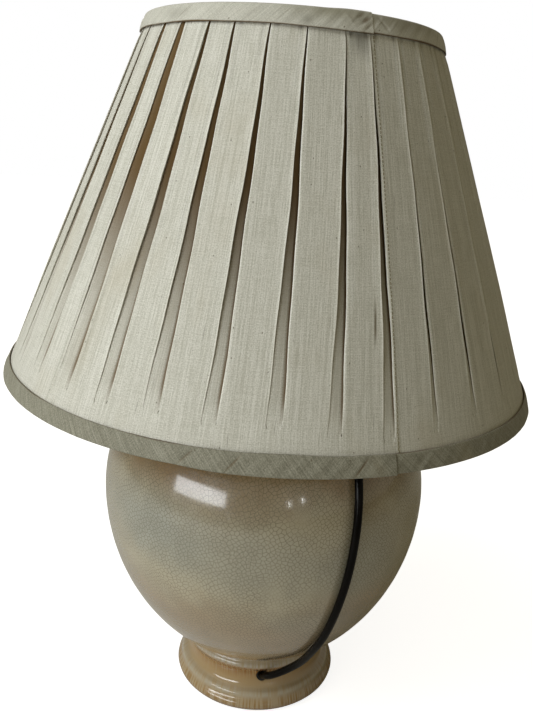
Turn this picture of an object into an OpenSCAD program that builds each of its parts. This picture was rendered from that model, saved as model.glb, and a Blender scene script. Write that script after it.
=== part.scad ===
// Table lamp: a hollow crackle-glazed ceramic body on a turned foot, a brass bayonet
// lampholder with a push-bar switch, and a box-pleated silk shade hung on a tilting ring.
// Millimetres, +Z up, the origin at the middle of the felt that it stands on.

/* [Ceramic body] */
// Largest radius of the belly
belly_r = 130; // [115:1:145]
// Height of the belly's widest point above the table
belly_z = 181; // [170:1:190]
// Radius of the long arc that shapes the belly below its widest point
lower_arc = 167; // [160:1:175]
// Radius of the arc above the widest point
upper_arc = 118; // [110:1:125]
// Radius of the arc that turns the belly over into the shoulder
shoulder_arc = 55; // [48:1:62]
// Slope of the shoulder's nearly flat top
shoulder_slope = 10; // [6:1:14]
// Radius of the neck
neck_r = 19.5; // [18:0.5:20]
// Height of the neck above the shoulder
neck_h = 22; // [20:1:28]
// How far the rolled lip stands out from the neck
lip_out = 3; // [1.5:0.5:4]
// Height of the rolled lip
lip_h = 5; // [4:0.5:7]
// Thickness of the ceramic wall
wall = 6; // [4:0.5:8]

/* [Foot] */
// Outer radius of the foot
foot_r = 69; // [67:0.5:72]
// Height of the foot up to the groove under the belly
foot_h = 45; // [43:0.5:47]
// Least radius of the cove that is turned into the foot
cove_r = 56.5; // [55:0.5:58]
// Radius of the hollow under the foot
hollow_r = 47; // [44:1:50]
// Thickness of the ceramic floor between the foot's hollow and the body
floor_t = 9; // [7:0.5:11]
// Thickness of the felt under the foot
felt_t = 2; // [1:0.5:3]

/* [Cord outlet] */
// Height of the outlet's centre in the cove
outlet_z = 28.5; // [27:0.5:30]
// Angle of the outlet round the foot, from the front towards the right
outlet_turn = 6.9; // [0:0.1:14]
// Upward slant of the drilled outlet
outlet_slant = 25; // [20:1:35]
// Outer radius of the rubber bush
bush_r = 4.6; // [4.4:0.1:5.5]

/* [Cord] */
// Radius of the round flex
cord_r = 3; // [2.5:0.1:3.1]
// Distance from turn to turn in the coil
coil_pitch = 6.6; // [6.6:0.1:7.5]
// Turns in each of the coil's two layers
layer_turns = 3; // [1:1:3]
// Thickness of the ties round the coil
tie_t = 1; // [0.6:0.1:1.2]
// Width of the ties
tie_w = 8; // [5:1:12]

/* [Rod and fittings] */
// Outer radius of the threaded rod
rod_r = 5; // [4.5:0.1:5]
// Bore radius of the threaded rod
rod_bore_r = 3.6; // [3.4:0.1:3.8]
// Radius of the steel washer under the ceramic floor
washer_r = 19; // [14:1:24]
// Width across the flats of the hexagon nuts
nut_af = 16; // [14:0.5:18]
// Thickness of the nuts
nut_h = 4; // [3:0.5:5]
// Radius of the brass cap on the neck
cap_r = 25.5; // [24.5:0.5:28]

/* [Lampholder] */
// Outer radius of the lampholder's shoulder
holder_r = 18; // [17:0.5:19]
// Height of the lower shell, from the nut to the shoulder
holder_h = 30; // [28:1:36]
// Outer radius of the bayonet barrel
barrel_r = 13; // [12.6:0.1:13.4]
// Wall of the bayonet barrel
barrel_wall = 1.4; // [1:0.1:1.6]
// Height of the barrel above the shoulder
barrel_h = 28; // [26:1:32]
// Radius of the push-bar of the switch
bar_r = 2.6; // [2:0.1:3]
// Travel of the push-bar
bar_travel = 6; // [3:0.5:7]

/* [Bulb] */
// Radius of the bulb's glass
bulb_r = 30; // [24:1:34]
// Length of the bulb with its cap
bulb_h = 105; // [96:1:115]
// Radius of the bulb's bayonet cap
bulb_cap_r = 11; // [10.9:0.05:11.3]
// Travel of the bulb against the contact springs
bulb_press = 2; // [1:0.1:2.2]

/* [Shade] */
// Outer radius of the shade's lower edge
shade_bottom_r = 200; // [185:1:215]
// Outer radius of the shade's upper edge
shade_top_r = 102.5; // [92:0.5:115]
// Height of the shade
shade_h = 250; // [225:1:270]
// Height of the shade's lower edge above the table
shade_z = 280; // [272:1:290]
// Lean of the shade to the right, as it is photographed
shade_lean = 1.5; // [-6:0.1:6]
// Pleats round the shade
pleats = 34; // [20:1:40]
// Depth of a pleat's fold
pleat_depth = 1.6; // [0.8:0.1:1.8]
// Thickness of the silk cover at its thinnest
silk_t = 0.6; // [0.4:0.1:0.8]
// Thickness of the lining
lining_t = 0.8; // [0.5:0.1:1.2]
// Thickness of the bias bindings
binding_t = 1.2; // [0.8:0.1:1.6]
// Width of the upper binding
top_binding_h = 12; // [8:0.5:16]
// Width of the lower binding
bottom_binding_h = 9.5; // [7:0.5:14]

/* [Frame] */
// Radius of the wire of the two rings
ring_wire_r = 1.6; // [1.2:0.1:2]
// Radius of the upright wires and of the arms
strut_wire_r = 1.4; // [1:0.1:1.5]
// Upright wires
struts = 10; // [6:1:12]
// Radius of the pivot pins of the shade's ring
pivot_r = 1.5; // [1.2:0.1:1.6]

/* [Hidden] */
$fn = 72;

// Clearances
touch_gap = 0.3;
slide_gap = 0.1;
pin_gap = 0.05;
eps = 0.02;

// Belly: centres of the three arcs, and where one hands over to the next
arc_step = 6;
upper_end = 25;
shoulder_end = 90 - shoulder_slope;
low_c = [belly_r - lower_arc, belly_z];
up_c = [belly_r - upper_arc, belly_z];
up_end_pt = up_c + upper_arc * [cos(upper_end), sin(upper_end)];
sh_c = up_end_pt - shoulder_arc * [cos(upper_end), sin(upper_end)];
dome_edge = sh_c + shoulder_arc * [cos(shoulder_end), sin(shoulder_end)];
function dome_z(r) = dome_edge[1] + (dome_edge[0] - r) * tan(shoulder_slope);
neck_base_z = dome_z(neck_r);
neck_top_z = neck_base_z + neck_h;
belly_foot_z = foot_h + 2;
belly_foot_a = -asin((belly_z - belly_foot_z) / lower_arc);

// Points of an arc about c, in equal steps from angle a to angle b
function arc(c, r, a, b, n) = [
  for (i = [0:n]) c + r * [cos(a + (b - a) * i / n), sin(a + (b - a) * i / n)]
];

// Foot: rim, ridge, cove and the ring under the belly
rim_bead = 4.5;
ridge_bead = 2.6;
cove_arc = 13.5;
neck_bead = 3.2;
rim_c = [foot_r - rim_bead, felt_t + rim_bead];
ridge_c = [foot_r - 6.4, felt_t + 12.5];
cove_c = [cove_r + cove_arc, foot_h - 18];
bead_c = [cove_r + 2.7, foot_h - 4.8];
foot_profile = concat(
  arc(rim_c, rim_bead, -90, 60, 10),
  arc(ridge_c, ridge_bead, -20, 75, 6),
  arc(cove_c, cove_arc, 222, 138, 10),
  arc(bead_c, neck_bead, -45, 60, 8),
  [[bead_c[0] + 0.6, foot_h]]
);
belly_profile = concat(
  arc(low_c, lower_arc, belly_foot_a, 0, 22),
  arc(up_c, upper_arc, arc_step, upper_end, 4),
  arc(sh_c, shoulder_arc, upper_end + arc_step, shoulder_end, 8)
);
lip_r = neck_r + lip_out;
neck_profile = [
  [neck_r, neck_base_z],
  [neck_r, neck_top_z - lip_h],
  [lip_r - 1, neck_top_z - lip_h],
  [lip_r, neck_top_z - lip_h + 1],
  [lip_r, neck_top_z - 1.5],
  [lip_r - 1.5, neck_top_z]
];

// Inside of the body: the same arcs, one wall in
cavity_top_r = neck_r - wall;
cavity_low_z = foot_h + floor_t / 2;
cavity_low_a = -asin((belly_z - cavity_low_z) / (lower_arc - wall));
cavity_profile = concat(
  [[0, cavity_low_z]],
  arc(low_c, lower_arc - wall, cavity_low_a, 0, 18),
  arc(up_c, upper_arc - wall, arc_step, upper_end, 4),
  arc(sh_c, shoulder_arc - wall, upper_end + arc_step, shoulder_end, 6),
  [[cavity_top_r, dome_z(cavity_top_r) - wall], [0, dome_z(cavity_top_r) - wall]]
);
ceiling_z = cavity_low_z - floor_t;

// Threaded rod and what it clamps
washer_t = 2;
lock_t = 1.2;
nut_top_z = ceiling_z - washer_t - lock_t;
rod_low_z = nut_top_z - nut_h - 3;
gasket_t = 1.5;
cap_t = 1.5;
cap_rise = 4;
cap_skirt = 4;
cap_top_z = neck_top_z + gasket_t + cap_rise;
neck_nut_z = cap_top_z;
holder_z = neck_nut_z + nut_h;
rod_top_z = holder_z + 8;
grip_h = 3;
flex_top_z = rod_top_z + grip_h + 1;
shoulder_z = holder_z + holder_h;
holder_wall = 1.2;
holder_neck_r = 8;

// Push-bar switch, across the lower shell
bar_z = shoulder_z - 11.5;
bar_half = holder_r + bar_travel + 5;
knob_r = 3.6;
knob_h = 4;

// Bayonet barrel, its insert and its two sprung contacts
barrel_top_z = shoulder_z + barrel_h;
thread_h = 1.3;
thread_l = 13;
flange_t = 2;
insert_r = barrel_r - barrel_wall - slide_gap;
insert_low_z = shoulder_z - 4;
screw_y = 7;
insert_top_z = shoulder_z + 5;
contact_x = 4.2;
plunger_r = 1.9;
plunger_head_r = 2.2;
plunger_top_z = insert_top_z + 5;
spring_top_z = insert_top_z - 2;
spring_low_z = insert_low_z + 2;
slot_w = 2.7;
lug_r = 1.1;
lug_reach = barrel_r + 0.5;
cap_low_z = plunger_top_z + 1;
lug_z = cap_low_z + 6.5;
slot_turn = 26;

// Bulb
bulb_cap_h = 24;
bulb_cap_top_z = cap_low_z + bulb_cap_h;
glass_t = 0.8;
bulb_top_z = cap_low_z - 1 + bulb_h;
bulb_c_z = bulb_top_z - bulb_r;
glass_neck_r = bulb_cap_r - glass_t - slide_gap;
glass_low_z = bulb_cap_top_z - 8;
stem_top_z = bulb_c_z - 18;

// Shade ring on the lampholder and its pivots
ring_t = 3.4;
ring_z = shoulder_z + touch_gap;
pivot_z = ring_z + ring_t / 2;
ring_in_r = barrel_r + thread_h + touch_gap;
ring_out_r = 20.5;
pivot_end_r = 29;
pivot_head_r = 2.6;
pivot_head_h = 1.2;
eye_r = 3;
eye_w = 5;
eye_y = ring_out_r + 1.2;
ring_nut_h = 6;
ring_nut_r = 19;

// Shade, in its own frame before it leans
shade_top_z = shade_z + shade_h;
flare = (shade_bottom_r - shade_top_r) / shade_h;
function edge_r(z) = shade_bottom_r - (z - shade_z) * flare;
silk_off = binding_t + touch_gap;
function silk_r(z) = edge_r(z) - silk_off;
silk_in = pleat_depth + silk_t;
strut_off = silk_off + silk_in + touch_gap + strut_wire_r;
lining_off = strut_off + strut_wire_r + touch_gap;
ring_off = silk_off + silk_in + touch_gap + ring_wire_r;
bottom_ring_z = shade_z + 4;
top_ring_z = shade_top_z - 4;
silk_low_z = shade_z + 2;
silk_top_z = shade_top_z - 2;
fade_h = 50;
panel_top_share = 0.93;
panel_bottom_share = 0.74;
fold_lip = 0.45;
pleat_turn = -3.7;

// Cord: flex inside, free run over the body, coil, tail and plug
flex_sides = 8;
outlet_dir = [
  cos(outlet_slant) * sin(outlet_turn), -cos(outlet_slant) * cos(outlet_turn), sin(outlet_slant)
];
outlet_mouth = [cove_r * sin(outlet_turn), -cove_r * cos(outlet_turn), outlet_z];
bush_len = 13;
coil_gap = 0.3;
coil_slack = 1;
coil_in_r = neck_r + 2 * coil_gap + tie_t + cord_r + coil_slack;
coil_lift = 2 * coil_gap + tie_t + cord_r;
coil_in_z = dome_z(coil_in_r) + coil_lift / cos(shoulder_slope);
coil_start = 155;
coil_straight = 2 * cord_r;
coil_rings = 24;
coil_sides = 6;

// Route of the free flex from the outlet over the belly and shoulder to the coil
run_route = [
  outlet_mouth,
  outlet_mouth + 2 * outlet_dir,
  outlet_mouth + 5 * outlet_dir,
  [12, -66.5, 37],
  [17, -68, 44],
  [24, -71.5, 51.5],
  [31, -76.5, 60],
  [37.5, -84.5, 70],
  [43.5, -96, 87],
  [48.5, -102.5, 100],
  [52, -108, 114],
  [55.5, -113, 130],
  [58.5, -116.5, 146],
  [61.5, -118, 163],
  [63.5, -118, 179],
  [65, -116.5, 194],
  [66, -113, 208],
  [66, -109, 221],
  [65.5, -103.5, 233],
  [64.5, -94.5, 245.5],
  [64, -81.5, 255.5],
  [64, -66, 262],
  [64, -48, 265.5],
  [63.5, -29, 267.5],
  [60.5, -8, 269]
];
function polar(r, a, z) = [r * sin(a), -r * cos(a), z];

// Unit tangent of the coil's centreline at t turns, and the point itself
function climb(t) = let (u = min(1, max(0, (t - layer_turns) / 0.5 + 0.5))) u * u * (3 - 2 * u);
function coil_s(t) = coil_pitch * abs(layer_turns - t);
function coil_n(t) = coil_pitch * climb(t);
function coil_point(t) =
  polar(
    coil_in_r + coil_s(t) * cos(shoulder_slope) + coil_n(t) * sin(shoulder_slope),
    coil_start + 360 * t,
    coil_in_z - coil_s(t) * sin(shoulder_slope) + coil_n(t) * cos(shoulder_slope)
  );
function unit(v) = v / norm(v);
coil_turns = 2 * layer_turns;
coil_dir_in = unit(coil_point(0.002) - coil_point(0));
coil_dir_out = unit(coil_point(coil_turns) - coil_point(coil_turns - 0.002));
coil_path = concat(
  [coil_point(0) - coil_straight * coil_dir_in],
  [for (i = [0:coil_turns * coil_rings]) coil_point(i / coil_rings)],
  [coil_point(coil_turns) + coil_straight * coil_dir_out]
);
coil_first = coil_path[0];
coil_last = coil_path[len(coil_path) - 1];

// Plug on the shoulder beside the coil
plug_l = 36;
plug_w = 35;
plug_t = 14;
plug_nose = 9;
plug_round = 4;
relief_l = 20;
pin_r = 2;
pin_l = 19;
pin_pitch = 18.6;
pin_root = 8;
pin_root_r = 1.4;
pin_neck = 0.3;
plug_turn = 252;
plug_at_r = 69.5;
plug_lift = plug_t / 2 + touch_gap;
plug_dir = [cos(plug_turn), sin(plug_turn), 0];
plug_ahead = 4;
plug_centre = plug_ahead * plug_dir + polar(
  plug_at_r + plug_lift * sin(shoulder_slope), plug_turn, dome_z(plug_at_r) + plug_lift * cos(shoulder_slope)
);
relief_end = plug_centre - (plug_l / 2 + relief_l) * plug_dir;

// Smooth curve through route points, with a ring every few millimetres
function spline_pt(p, i, u) =
  let (a = p[max(i - 1, 0)], b = p[i], c = p[i + 1], d = p[min(i + 2, len(p) - 1)])
  0.5 * (2 * b + (c - a) * u + (2 * a - 5 * b + 4 * c - d) * u * u + (3 * b - a - 3 * c + d) * u * u * u);
function smooth_path(p, n) = concat(
  [for (i = [0:len(p) - 2]) for (k = [0:n - 1]) spline_pt(p, i, k / n)],
  [p[len(p) - 1]]
);
function path_length(p, i = 0) = i >= len(p) - 1 ? 0 : norm(p[i + 1] - p[i]) + path_length(p, i + 1);

run_path = smooth_path(
  concat(
    run_route,
    [
      polar(54.5, 103, dome_z(54.5) + 4),
      polar(49.5, 122, dome_z(49.5) + 4.3),
      polar(46.3, 138, dome_z(46.3) + 4.6),
      coil_first - 8 * coil_dir_in,
      coil_first - 4 * coil_dir_in,
      coil_first
    ]
  ),
  2
);
tail_path = smooth_path(
  [
    coil_last,
    coil_last + 3 * coil_dir_out,
    coil_last + 6 * coil_dir_out,
    polar(51.5, 178, coil_last[2] - 1.5),
    polar(58.5, 190, coil_last[2] - 4.5),
    polar(66, 201, coil_last[2] - 7.5),
    polar(72, 212, relief_end[2] + 0.5),
    relief_end - 6 * plug_dir,
    relief_end - 3 * plug_dir,
    relief_end
  ],
  2
);
inner_path = smooth_path(
  [
    [0, 0, flex_top_z],
    [0, 0, rod_low_z + 60],
    [0, 0, rod_low_z + 1],
    [0, -3, rod_low_z - 8],
    [2, -14, rod_low_z - 11],
    outlet_mouth - 36 * outlet_dir + [0, 0, 6],
    outlet_mouth - 22 * outlet_dir + [0, 0, 1],
    outlet_mouth - 14 * outlet_dir,
    outlet_mouth - 7 * outlet_dir,
    outlet_mouth
  ],
  3
);

// Least gap of the coil to itself, between points at least half a turn apart
coil_gaps = [
  for (i = [1:2:len(coil_path) - 2 - coil_rings / 2])
    min([for (j = [i + coil_rings / 2:len(coil_path) - 2]) norm(coil_path[i] - coil_path[j])]) - 2 * cord_r
];
echo(least_gap_in_coil = min(coil_gaps));
echo(run = path_length(run_path), coil = path_length(coil_path), tail = path_length(tail_path));
echo(free_cord = path_length(run_path) + path_length(coil_path) + path_length(tail_path));

// Tube of the given radius along a path: one closed polyhedron of triangles
function along(p, i) = unit(p[min(i + 1, len(p) - 1)] - p[max(i - 1, 0)]);
function across(t, n) = unit(n - (n * t) * t);
function frames(p, n0) = [
  for (i = 0, n = across(along(p, 0), n0); i < len(p); i = i + 1, n = across(along(p, min(i, len(p) - 1)), n))
    n
];
module tube(p, r, sides, up = [0.13, 0.21, 0.97]) {
  normals = frames(p, up);
  rings = [
    for (i = [0:len(p) - 1])
      let (t = along(p, i), n = normals[i], b = cross(t, n))
      for (k = [0:sides - 1]) p[i] + r * (cos(360 * k / sides) * n + sin(360 * k / sides) * b)
  ];
  last = len(p) - 1;
  walls = [
    for (i = [0:last - 1]) for (k = [0:sides - 1])
      let (a = i * sides + k, b = i * sides + (k + 1) % sides)
      each [[a, a + sides, b], [b, a + sides, b + sides]]
  ];
  start_cap = [for (k = [1:sides - 2]) [0, k, k + 1]];
  end_cap = [for (k = [1:sides - 2]) [last * sides, last * sides + k + 1, last * sides + k]];
  polyhedron(points = rings, faces = concat(walls, start_cap, end_cap), convexity = 10);
}

// Ring of revolution between two radii and two heights
module sleeve(r_in, r_out, z0, z1) {
  translate([0, 0, z0]) difference() {
    cylinder(r = r_out, h = z1 - z0);
    translate([0, 0, -1]) cylinder(r = r_in, h = z1 - z0 + 2);
  }
}

module hexagon_nut(bore, z) {
  translate([0, 0, z]) difference() {
    cylinder(r = nut_af / 2 / cos(30), h = nut_h, $fn = 6);
    translate([0, 0, -1]) cylinder(r = bore, h = nut_h + 2);
  }
}

// Everything on the shade leans about the pivots
module leaning() {
  translate([0, 0, pivot_z]) rotate([0, shade_lean, 0]) translate([0, 0, -pivot_z]) children();
}

// Conical shell between two heights, between two distances in from the shade's outer edge
module shade_shell(off_out, off_in, z0, z1) {
  rotate_extrude($fn = 120) polygon([
    [edge_r(z0) - off_out, z0],
    [edge_r(z1) - off_out, z1],
    [edge_r(z1) - off_in, z1],
    [edge_r(z0) - off_in, z0]
  ]);
}

module outlet_place() {
  translate(outlet_mouth) rotate([0, 0, outlet_turn]) rotate([90 - outlet_slant, 0, 0]) children();
}

module vase_body() {
  color("#C9BFA6") difference() {
    rotate_extrude($fn = 120) difference() {
      polygon(concat([[0, felt_t]], foot_profile, belly_profile, neck_profile, [[0, neck_top_z]]));
      polygon(cavity_profile);
    }
    translate([0, 0, -1]) cylinder(r = hollow_r, h = ceiling_z + 1);
    translate([0, 0, ceiling_z - 1]) cylinder(r = rod_r + touch_gap, h = floor_t + 2);
    translate([0, 0, dome_z(cavity_top_r) - wall - 1]) cylinder(r = cavity_top_r, h = neck_h + wall + 20);
    outlet_place() translate([0, 0, -bush_len - 12]) cylinder(r = bush_r, h = 3 * bush_len + 12);
  }
}

module base_felt() {
  color("#3F4A38") cylinder(r = foot_r - rim_bead - 1, h = felt_t);
}

module bottom_washer() {
  color("#9A9C9E") sleeve(rod_r + touch_gap, washer_r, ceiling_z - washer_t, ceiling_z);
}

module lock_washer() {
  color("#8E9194") difference() {
    sleeve(rod_r + touch_gap, nut_af / 2, nut_top_z, ceiling_z - washer_t);
    translate([rod_r - 1, -0.6, nut_top_z - 1]) cube([nut_af, 1.2, lock_t + 2]);
  }
}

module bottom_nut() {
  color("#B58E3C") hexagon_nut(rod_r + eps, nut_top_z - nut_h);
}

module threaded_rod() {
  color("#A9ABAD") sleeve(rod_bore_r, rod_r, rod_low_z, rod_top_z);
}

module cord_bush() {
  color("#17150F") outlet_place() difference() {
    translate([0, 0, -bush_len]) cylinder(r = bush_r - slide_gap / 2, h = bush_len);
    translate([0, 0, -bush_len - 1]) cylinder(r = cord_r + touch_gap / 2, h = bush_len + 2);
  }
}

module neck_gasket() {
  color("#B08A5A") sleeve(rod_r + touch_gap, neck_r, neck_top_z, neck_top_z + gasket_t);
}

module neck_cap() {
  color("#B8934A") rotate_extrude() polygon([
    [rod_r + touch_gap, cap_top_z - cap_t],
    [cap_r - 8, cap_top_z - cap_t],
    [cap_r - 4, neck_top_z + gasket_t],
    [cap_r - cap_t, neck_top_z + gasket_t],
    [cap_r - cap_t, neck_top_z - cap_skirt],
    [cap_r, neck_top_z - cap_skirt],
    [cap_r, neck_top_z + gasket_t + 1],
    [cap_r - 3.4, neck_top_z + gasket_t + cap_t],
    [cap_r - 7.4, cap_top_z],
    [rod_r + touch_gap, cap_top_z]
  ]);
}

module neck_nut() {
  color("#B58E3C") hexagon_nut(rod_r + eps, neck_nut_z);
}

module holder_lower_shell() {
  inner = holder_r - holder_wall;
  color("#B8934A") difference() {
    rotate_extrude() polygon([
      [rod_r + eps, holder_z],
      [holder_neck_r, holder_z],
      [holder_neck_r + 1, holder_z + 7],
      [holder_r - 3, holder_z + 11],
      [holder_r, holder_z + 15],
      [holder_r, shoulder_z],
      [inner - 4, shoulder_z],
      [inner - 4, shoulder_z - flange_t],
      [inner, shoulder_z - flange_t],
      [inner, holder_z + 15.5],
      [holder_r - 4, holder_z + 12.5],
      [rod_r + 1, holder_z + 9.5],
      [rod_r + eps, holder_z + 8]
    ]);
    translate([-holder_r - 5, 0, bar_z]) rotate([0, 90, 0])
      cylinder(r = bar_r + slide_gap, h = 2 * holder_r + 10);
  }
}

module bayonet_slot() {
  r_in = barrel_r - barrel_wall - 1;
  depth = barrel_wall + thread_h + 2;
  low = lug_z - bulb_press - slot_w / 2;
  mid = lug_z - bulb_press;
  side = asin((slot_w / 2 + touch_gap) / (barrel_r - barrel_wall));
  translate([r_in, -slot_w / 2, mid]) cube([depth, slot_w, bulb_press + slot_w / 2]);
  rotate([0, 0, -slot_turn]) translate([r_in, -slot_w / 2, mid]) cube([depth, slot_w, barrel_h]);
  rotate([0, 0, -slot_turn - side]) rotate_extrude(angle = slot_turn + 2 * side) translate([r_in, low])
    square([depth, slot_w]);
}

module holder_barrel() {
  color("#C29D55") difference() {
    rotate_extrude() polygon([
      [barrel_r - barrel_wall, shoulder_z],
      [barrel_r + thread_h, shoulder_z],
      [barrel_r + thread_h, shoulder_z + thread_l],
      [barrel_r, shoulder_z + thread_l],
      [barrel_r, barrel_top_z],
      [barrel_r - barrel_wall, barrel_top_z]
    ]);
    bayonet_slot();
    rotate([0, 0, 180]) bayonet_slot();
  }
}

module holder_insert() {
  color("#E6DFCF") difference() {
    union() {
      translate([0, 0, insert_low_z]) cylinder(r = insert_r - 0.6, h = insert_top_z - insert_low_z);
      translate([0, 0, shoulder_z - 2 * flange_t])
        cylinder(r = holder_r - holder_wall - slide_gap, h = flange_t - slide_gap);
    }
    for (s = [-1, 1]) {
      translate([s * contact_x, 0, insert_low_z + 2]) cylinder(r = plunger_head_r + slide_gap, h = 20);
      translate([0, s * screw_y, insert_low_z - 1]) cylinder(r = 1.6, h = 5);
    }
  }
}

module terminal_screws() {
  color("#C8A24E") for (s = [-1, 1]) translate([0, s * screw_y, insert_low_z - 1.4]) {
    cylinder(r = 1.5, h = 4.4);
    difference() {
      cylinder(r = 2.3, h = 1.4);
      translate([-3, -0.3, -0.1]) cube([6, 0.6, 0.6]);
    }
  }
}

module contact_plungers() {
  color("#C8A24E") for (s = [-1, 1]) translate([s * contact_x, 0, 0]) {
    translate([0, 0, spring_top_z]) cylinder(r = plunger_head_r, h = 1);
    translate([0, 0, spring_top_z + 0.9]) cylinder(r = plunger_r, h = plunger_top_z - spring_top_z - 0.9);
  }
}

module plunger_springs() {
  turns = 4;
  wire = 0.25;
  mid_r = plunger_r - 0.2;
  rise = spring_top_z - spring_low_z - 2 * wire - 2 * eps;
  color("#B0B3B5") for (s = [-1, 1]) tube(
    [
      for (i = [0:turns * 12])
        [
          s * contact_x + mid_r * cos(30 * i),
          mid_r * sin(30 * i),
          spring_low_z + wire + eps + rise * i / (turns * 12)
        ]
    ],
    wire, 6
  );
}

module shade_ring_nut() {
  z0 = ring_z + ring_t + touch_gap;
  color("#C29D55") difference() {
    sleeve(barrel_r + thread_h + eps, ring_nut_r, z0, z0 + ring_nut_h);
    for (i = [0:17]) rotate([0, 0, 20 * i]) translate([ring_nut_r + 0.3, 0, ring_z])
      cylinder(r = 1, h = 20, $fn = 24);
  }
}

module switch_bar() {
  color("#5A4330") translate([-bar_half + bar_travel, 0, bar_z]) rotate([0, 90, 0])
    cylinder(r = bar_r, h = 2 * bar_half - bar_travel);
}

module switch_knobs() {
  color("#3B2A1E") for (end = [[-bar_half + bar_travel - knob_h + 1, 1], [bar_half - 1, 1]])
    translate([end[0], 0, bar_z]) rotate([0, 90, 0]) difference() {
      cylinder(r = knob_r, h = knob_h);
      translate([0, 0, end[0] < 0 ? knob_h - 1 : -1]) cylinder(r = bar_r, h = 2);
    }
}

module cord_grip() {
  color("#D8D2C2") sleeve(cord_r + slide_gap, rod_r - 2 * eps, rod_top_z + eps, rod_top_z + grip_h);
}

module inner_flex() {
  color("#3A3416") tube(inner_path, cord_r, flex_sides, [1, 0, 0]);
}

module flex_cores() {
  core_r = 0.9;
  root_y = 1.3;
  side_y = bar_r + core_r + 1.7;
  // Half a cosine wave carries each core past the switch bar
  bend_z = flex_top_z + 0.5;
  bend = [
    for (u = [0:1 / 12:1.001])
      [root_y + (side_y - root_y) * (1 - cos(180 * u)) / 2, bend_z + (bar_z - bend_z) * u]
  ];
  color("#6B4A2A") for (s = [-1, 1]) tube(
    concat(
      [[0, s * root_y, flex_top_z]],
      [for (q = bend) [0, s * q[0], q[1]]],
      [[0, s * screw_y, insert_low_z - 2.3], [0, s * screw_y, insert_low_z - 1.5]]
    ),
    core_r, 12, [1, 0, 0]
  );
}

module bulb_glass() {
  blend_z = bulb_cap_top_z + 14;
  neck = glass_neck_r;
  ball_low = -58;
  outer = concat(
    [
      [neck, glass_low_z],
      [neck, bulb_cap_top_z + eps],
      [neck + 1.6, bulb_cap_top_z + 6],
      [neck + 5, blend_z]
    ],
    arc([0, bulb_c_z], bulb_r, ball_low, 90, 26)
  );
  inner = concat(
    [
      [0, bulb_c_z + bulb_r - glass_t]
    ],
    arc([0, bulb_c_z], bulb_r - glass_t, 84, ball_low, 26),
    [
      [neck + 5 - glass_t, blend_z],
      [neck + 1.6 - glass_t, bulb_cap_top_z + 6],
      [neck - glass_t, bulb_cap_top_z],
      [neck - glass_t, glass_low_z]
    ]
  );
  color("#F4F2EA", 0.5) rotate_extrude() polygon(concat(outer, inner));
}

module bulb_cap() {
  color("#B9BCC0") {
    sleeve(bulb_cap_r - glass_t + eps, bulb_cap_r, cap_low_z, bulb_cap_top_z);
    for (s = [-1, 1]) translate([s * (bulb_cap_r - glass_t + 0.1), 0, lug_z]) rotate([0, s * 90, 0])
      cylinder(r = lug_r, h = lug_reach - bulb_cap_r + glass_t - 0.1);
  }
}

module bulb_insulator() {
  color("#1A1A1E") difference() {
    translate([0, 0, cap_low_z + 0.2]) cylinder(r = bulb_cap_r - glass_t - eps, h = 4);
    for (s = [-1, 1]) translate([s * contact_x, 0, cap_low_z - 1]) cylinder(r = 2.4 + eps, h = 3);
  }
}

module bulb_contacts() {
  color("#A8A9AB") for (s = [-1, 1]) translate([s * contact_x, 0, plunger_top_z + pin_gap])
    cylinder(r = 2.4, h = cap_low_z - plunger_top_z + 2 - pin_gap);
}

module bulb_stem() {
  color("#E8ECEC", 0.6) rotate_extrude() polygon([
    [0, glass_low_z],
    [glass_neck_r - glass_t - eps, glass_low_z],
    [glass_neck_r - glass_t - eps, glass_low_z + 2],
    [5, glass_low_z + 6],
    [2.6, glass_low_z + 20],
    [2.6, stem_top_z],
    [0, stem_top_z]
  ]);
}

module bulb_filament() {
  top = bulb_c_z - 2;
  spread = 11;
  color("#77787A") {
    for (s = [-1, 1]) tube(
      [[s * 1.4, 0, stem_top_z], [s * 1.4, 0, stem_top_z + 4], [s * spread, 0, top]],
      0.35, 6, [0, 1, 0]
    );
    tube([for (i = [-6:6]) [spread * i / 6, 2.4 * (1 + cos(30 * i)), top + 0.5]], 0.3, 6, [0, 0, 1]);
  }
}

module gimbal_ring() {
  pin_h = pivot_end_r - ring_out_r + 0.6;
  color("#B8934A") {
    sleeve(ring_in_r, ring_out_r, ring_z, ring_z + ring_t);
    for (s = [-1, 1]) translate([0, s * (ring_out_r - 0.6), pivot_z]) rotate([-s * 90, 0, 0]) {
      cylinder(r = pivot_r, h = pin_h);
      translate([0, 0, pin_h]) cylinder(r = pivot_head_r, h = pivot_head_h);
    }
  }
}

module gimbal_arms() {
  reach = edge_r(bottom_ring_z) - ring_off;
  eye_mid = eye_y + eye_w / 2;
  ring_top = bottom_ring_z + ring_wire_r + strut_wire_r;
  leaning() color("#9C9EA0") for (s = [-1, 1]) difference() {
    union() {
      translate([0, s * eye_y, pivot_z]) rotate([-s * 90, 0, 0]) cylinder(r = eye_r, h = eye_w);
      tube(
        [
          [0, s * eye_mid, pivot_z - eye_r + 0.6],
          [0, s * (eye_mid + 1), pivot_z - eye_r - 2],
          [0, s * (eye_mid + 8), pivot_z - eye_r - 3.6],
          [0, s * (reach - 10), ring_top + 1],
          [0, s * (reach - 2), ring_top],
          [0, s * (reach - 0.3), ring_top]
        ],
        strut_wire_r, 12, [1, 0, 0]
      );
    }
    translate([0, s * (eye_y - 1), pivot_z]) rotate([-s * 90, 0, 0])
      cylinder(r = pivot_r + pin_gap, h = eye_w + 2);
  }
}

module wire_ring(z) {
  rotate_extrude($fn = 120) translate([edge_r(z) - ring_off, z]) circle(r = ring_wire_r, $fn = 24);
}

module top_wire_ring() {
  leaning() color("#9C9EA0") wire_ring(top_ring_z);
}

module bottom_wire_ring() {
  leaning() color("#9C9EA0") wire_ring(bottom_ring_z);
}

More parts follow.
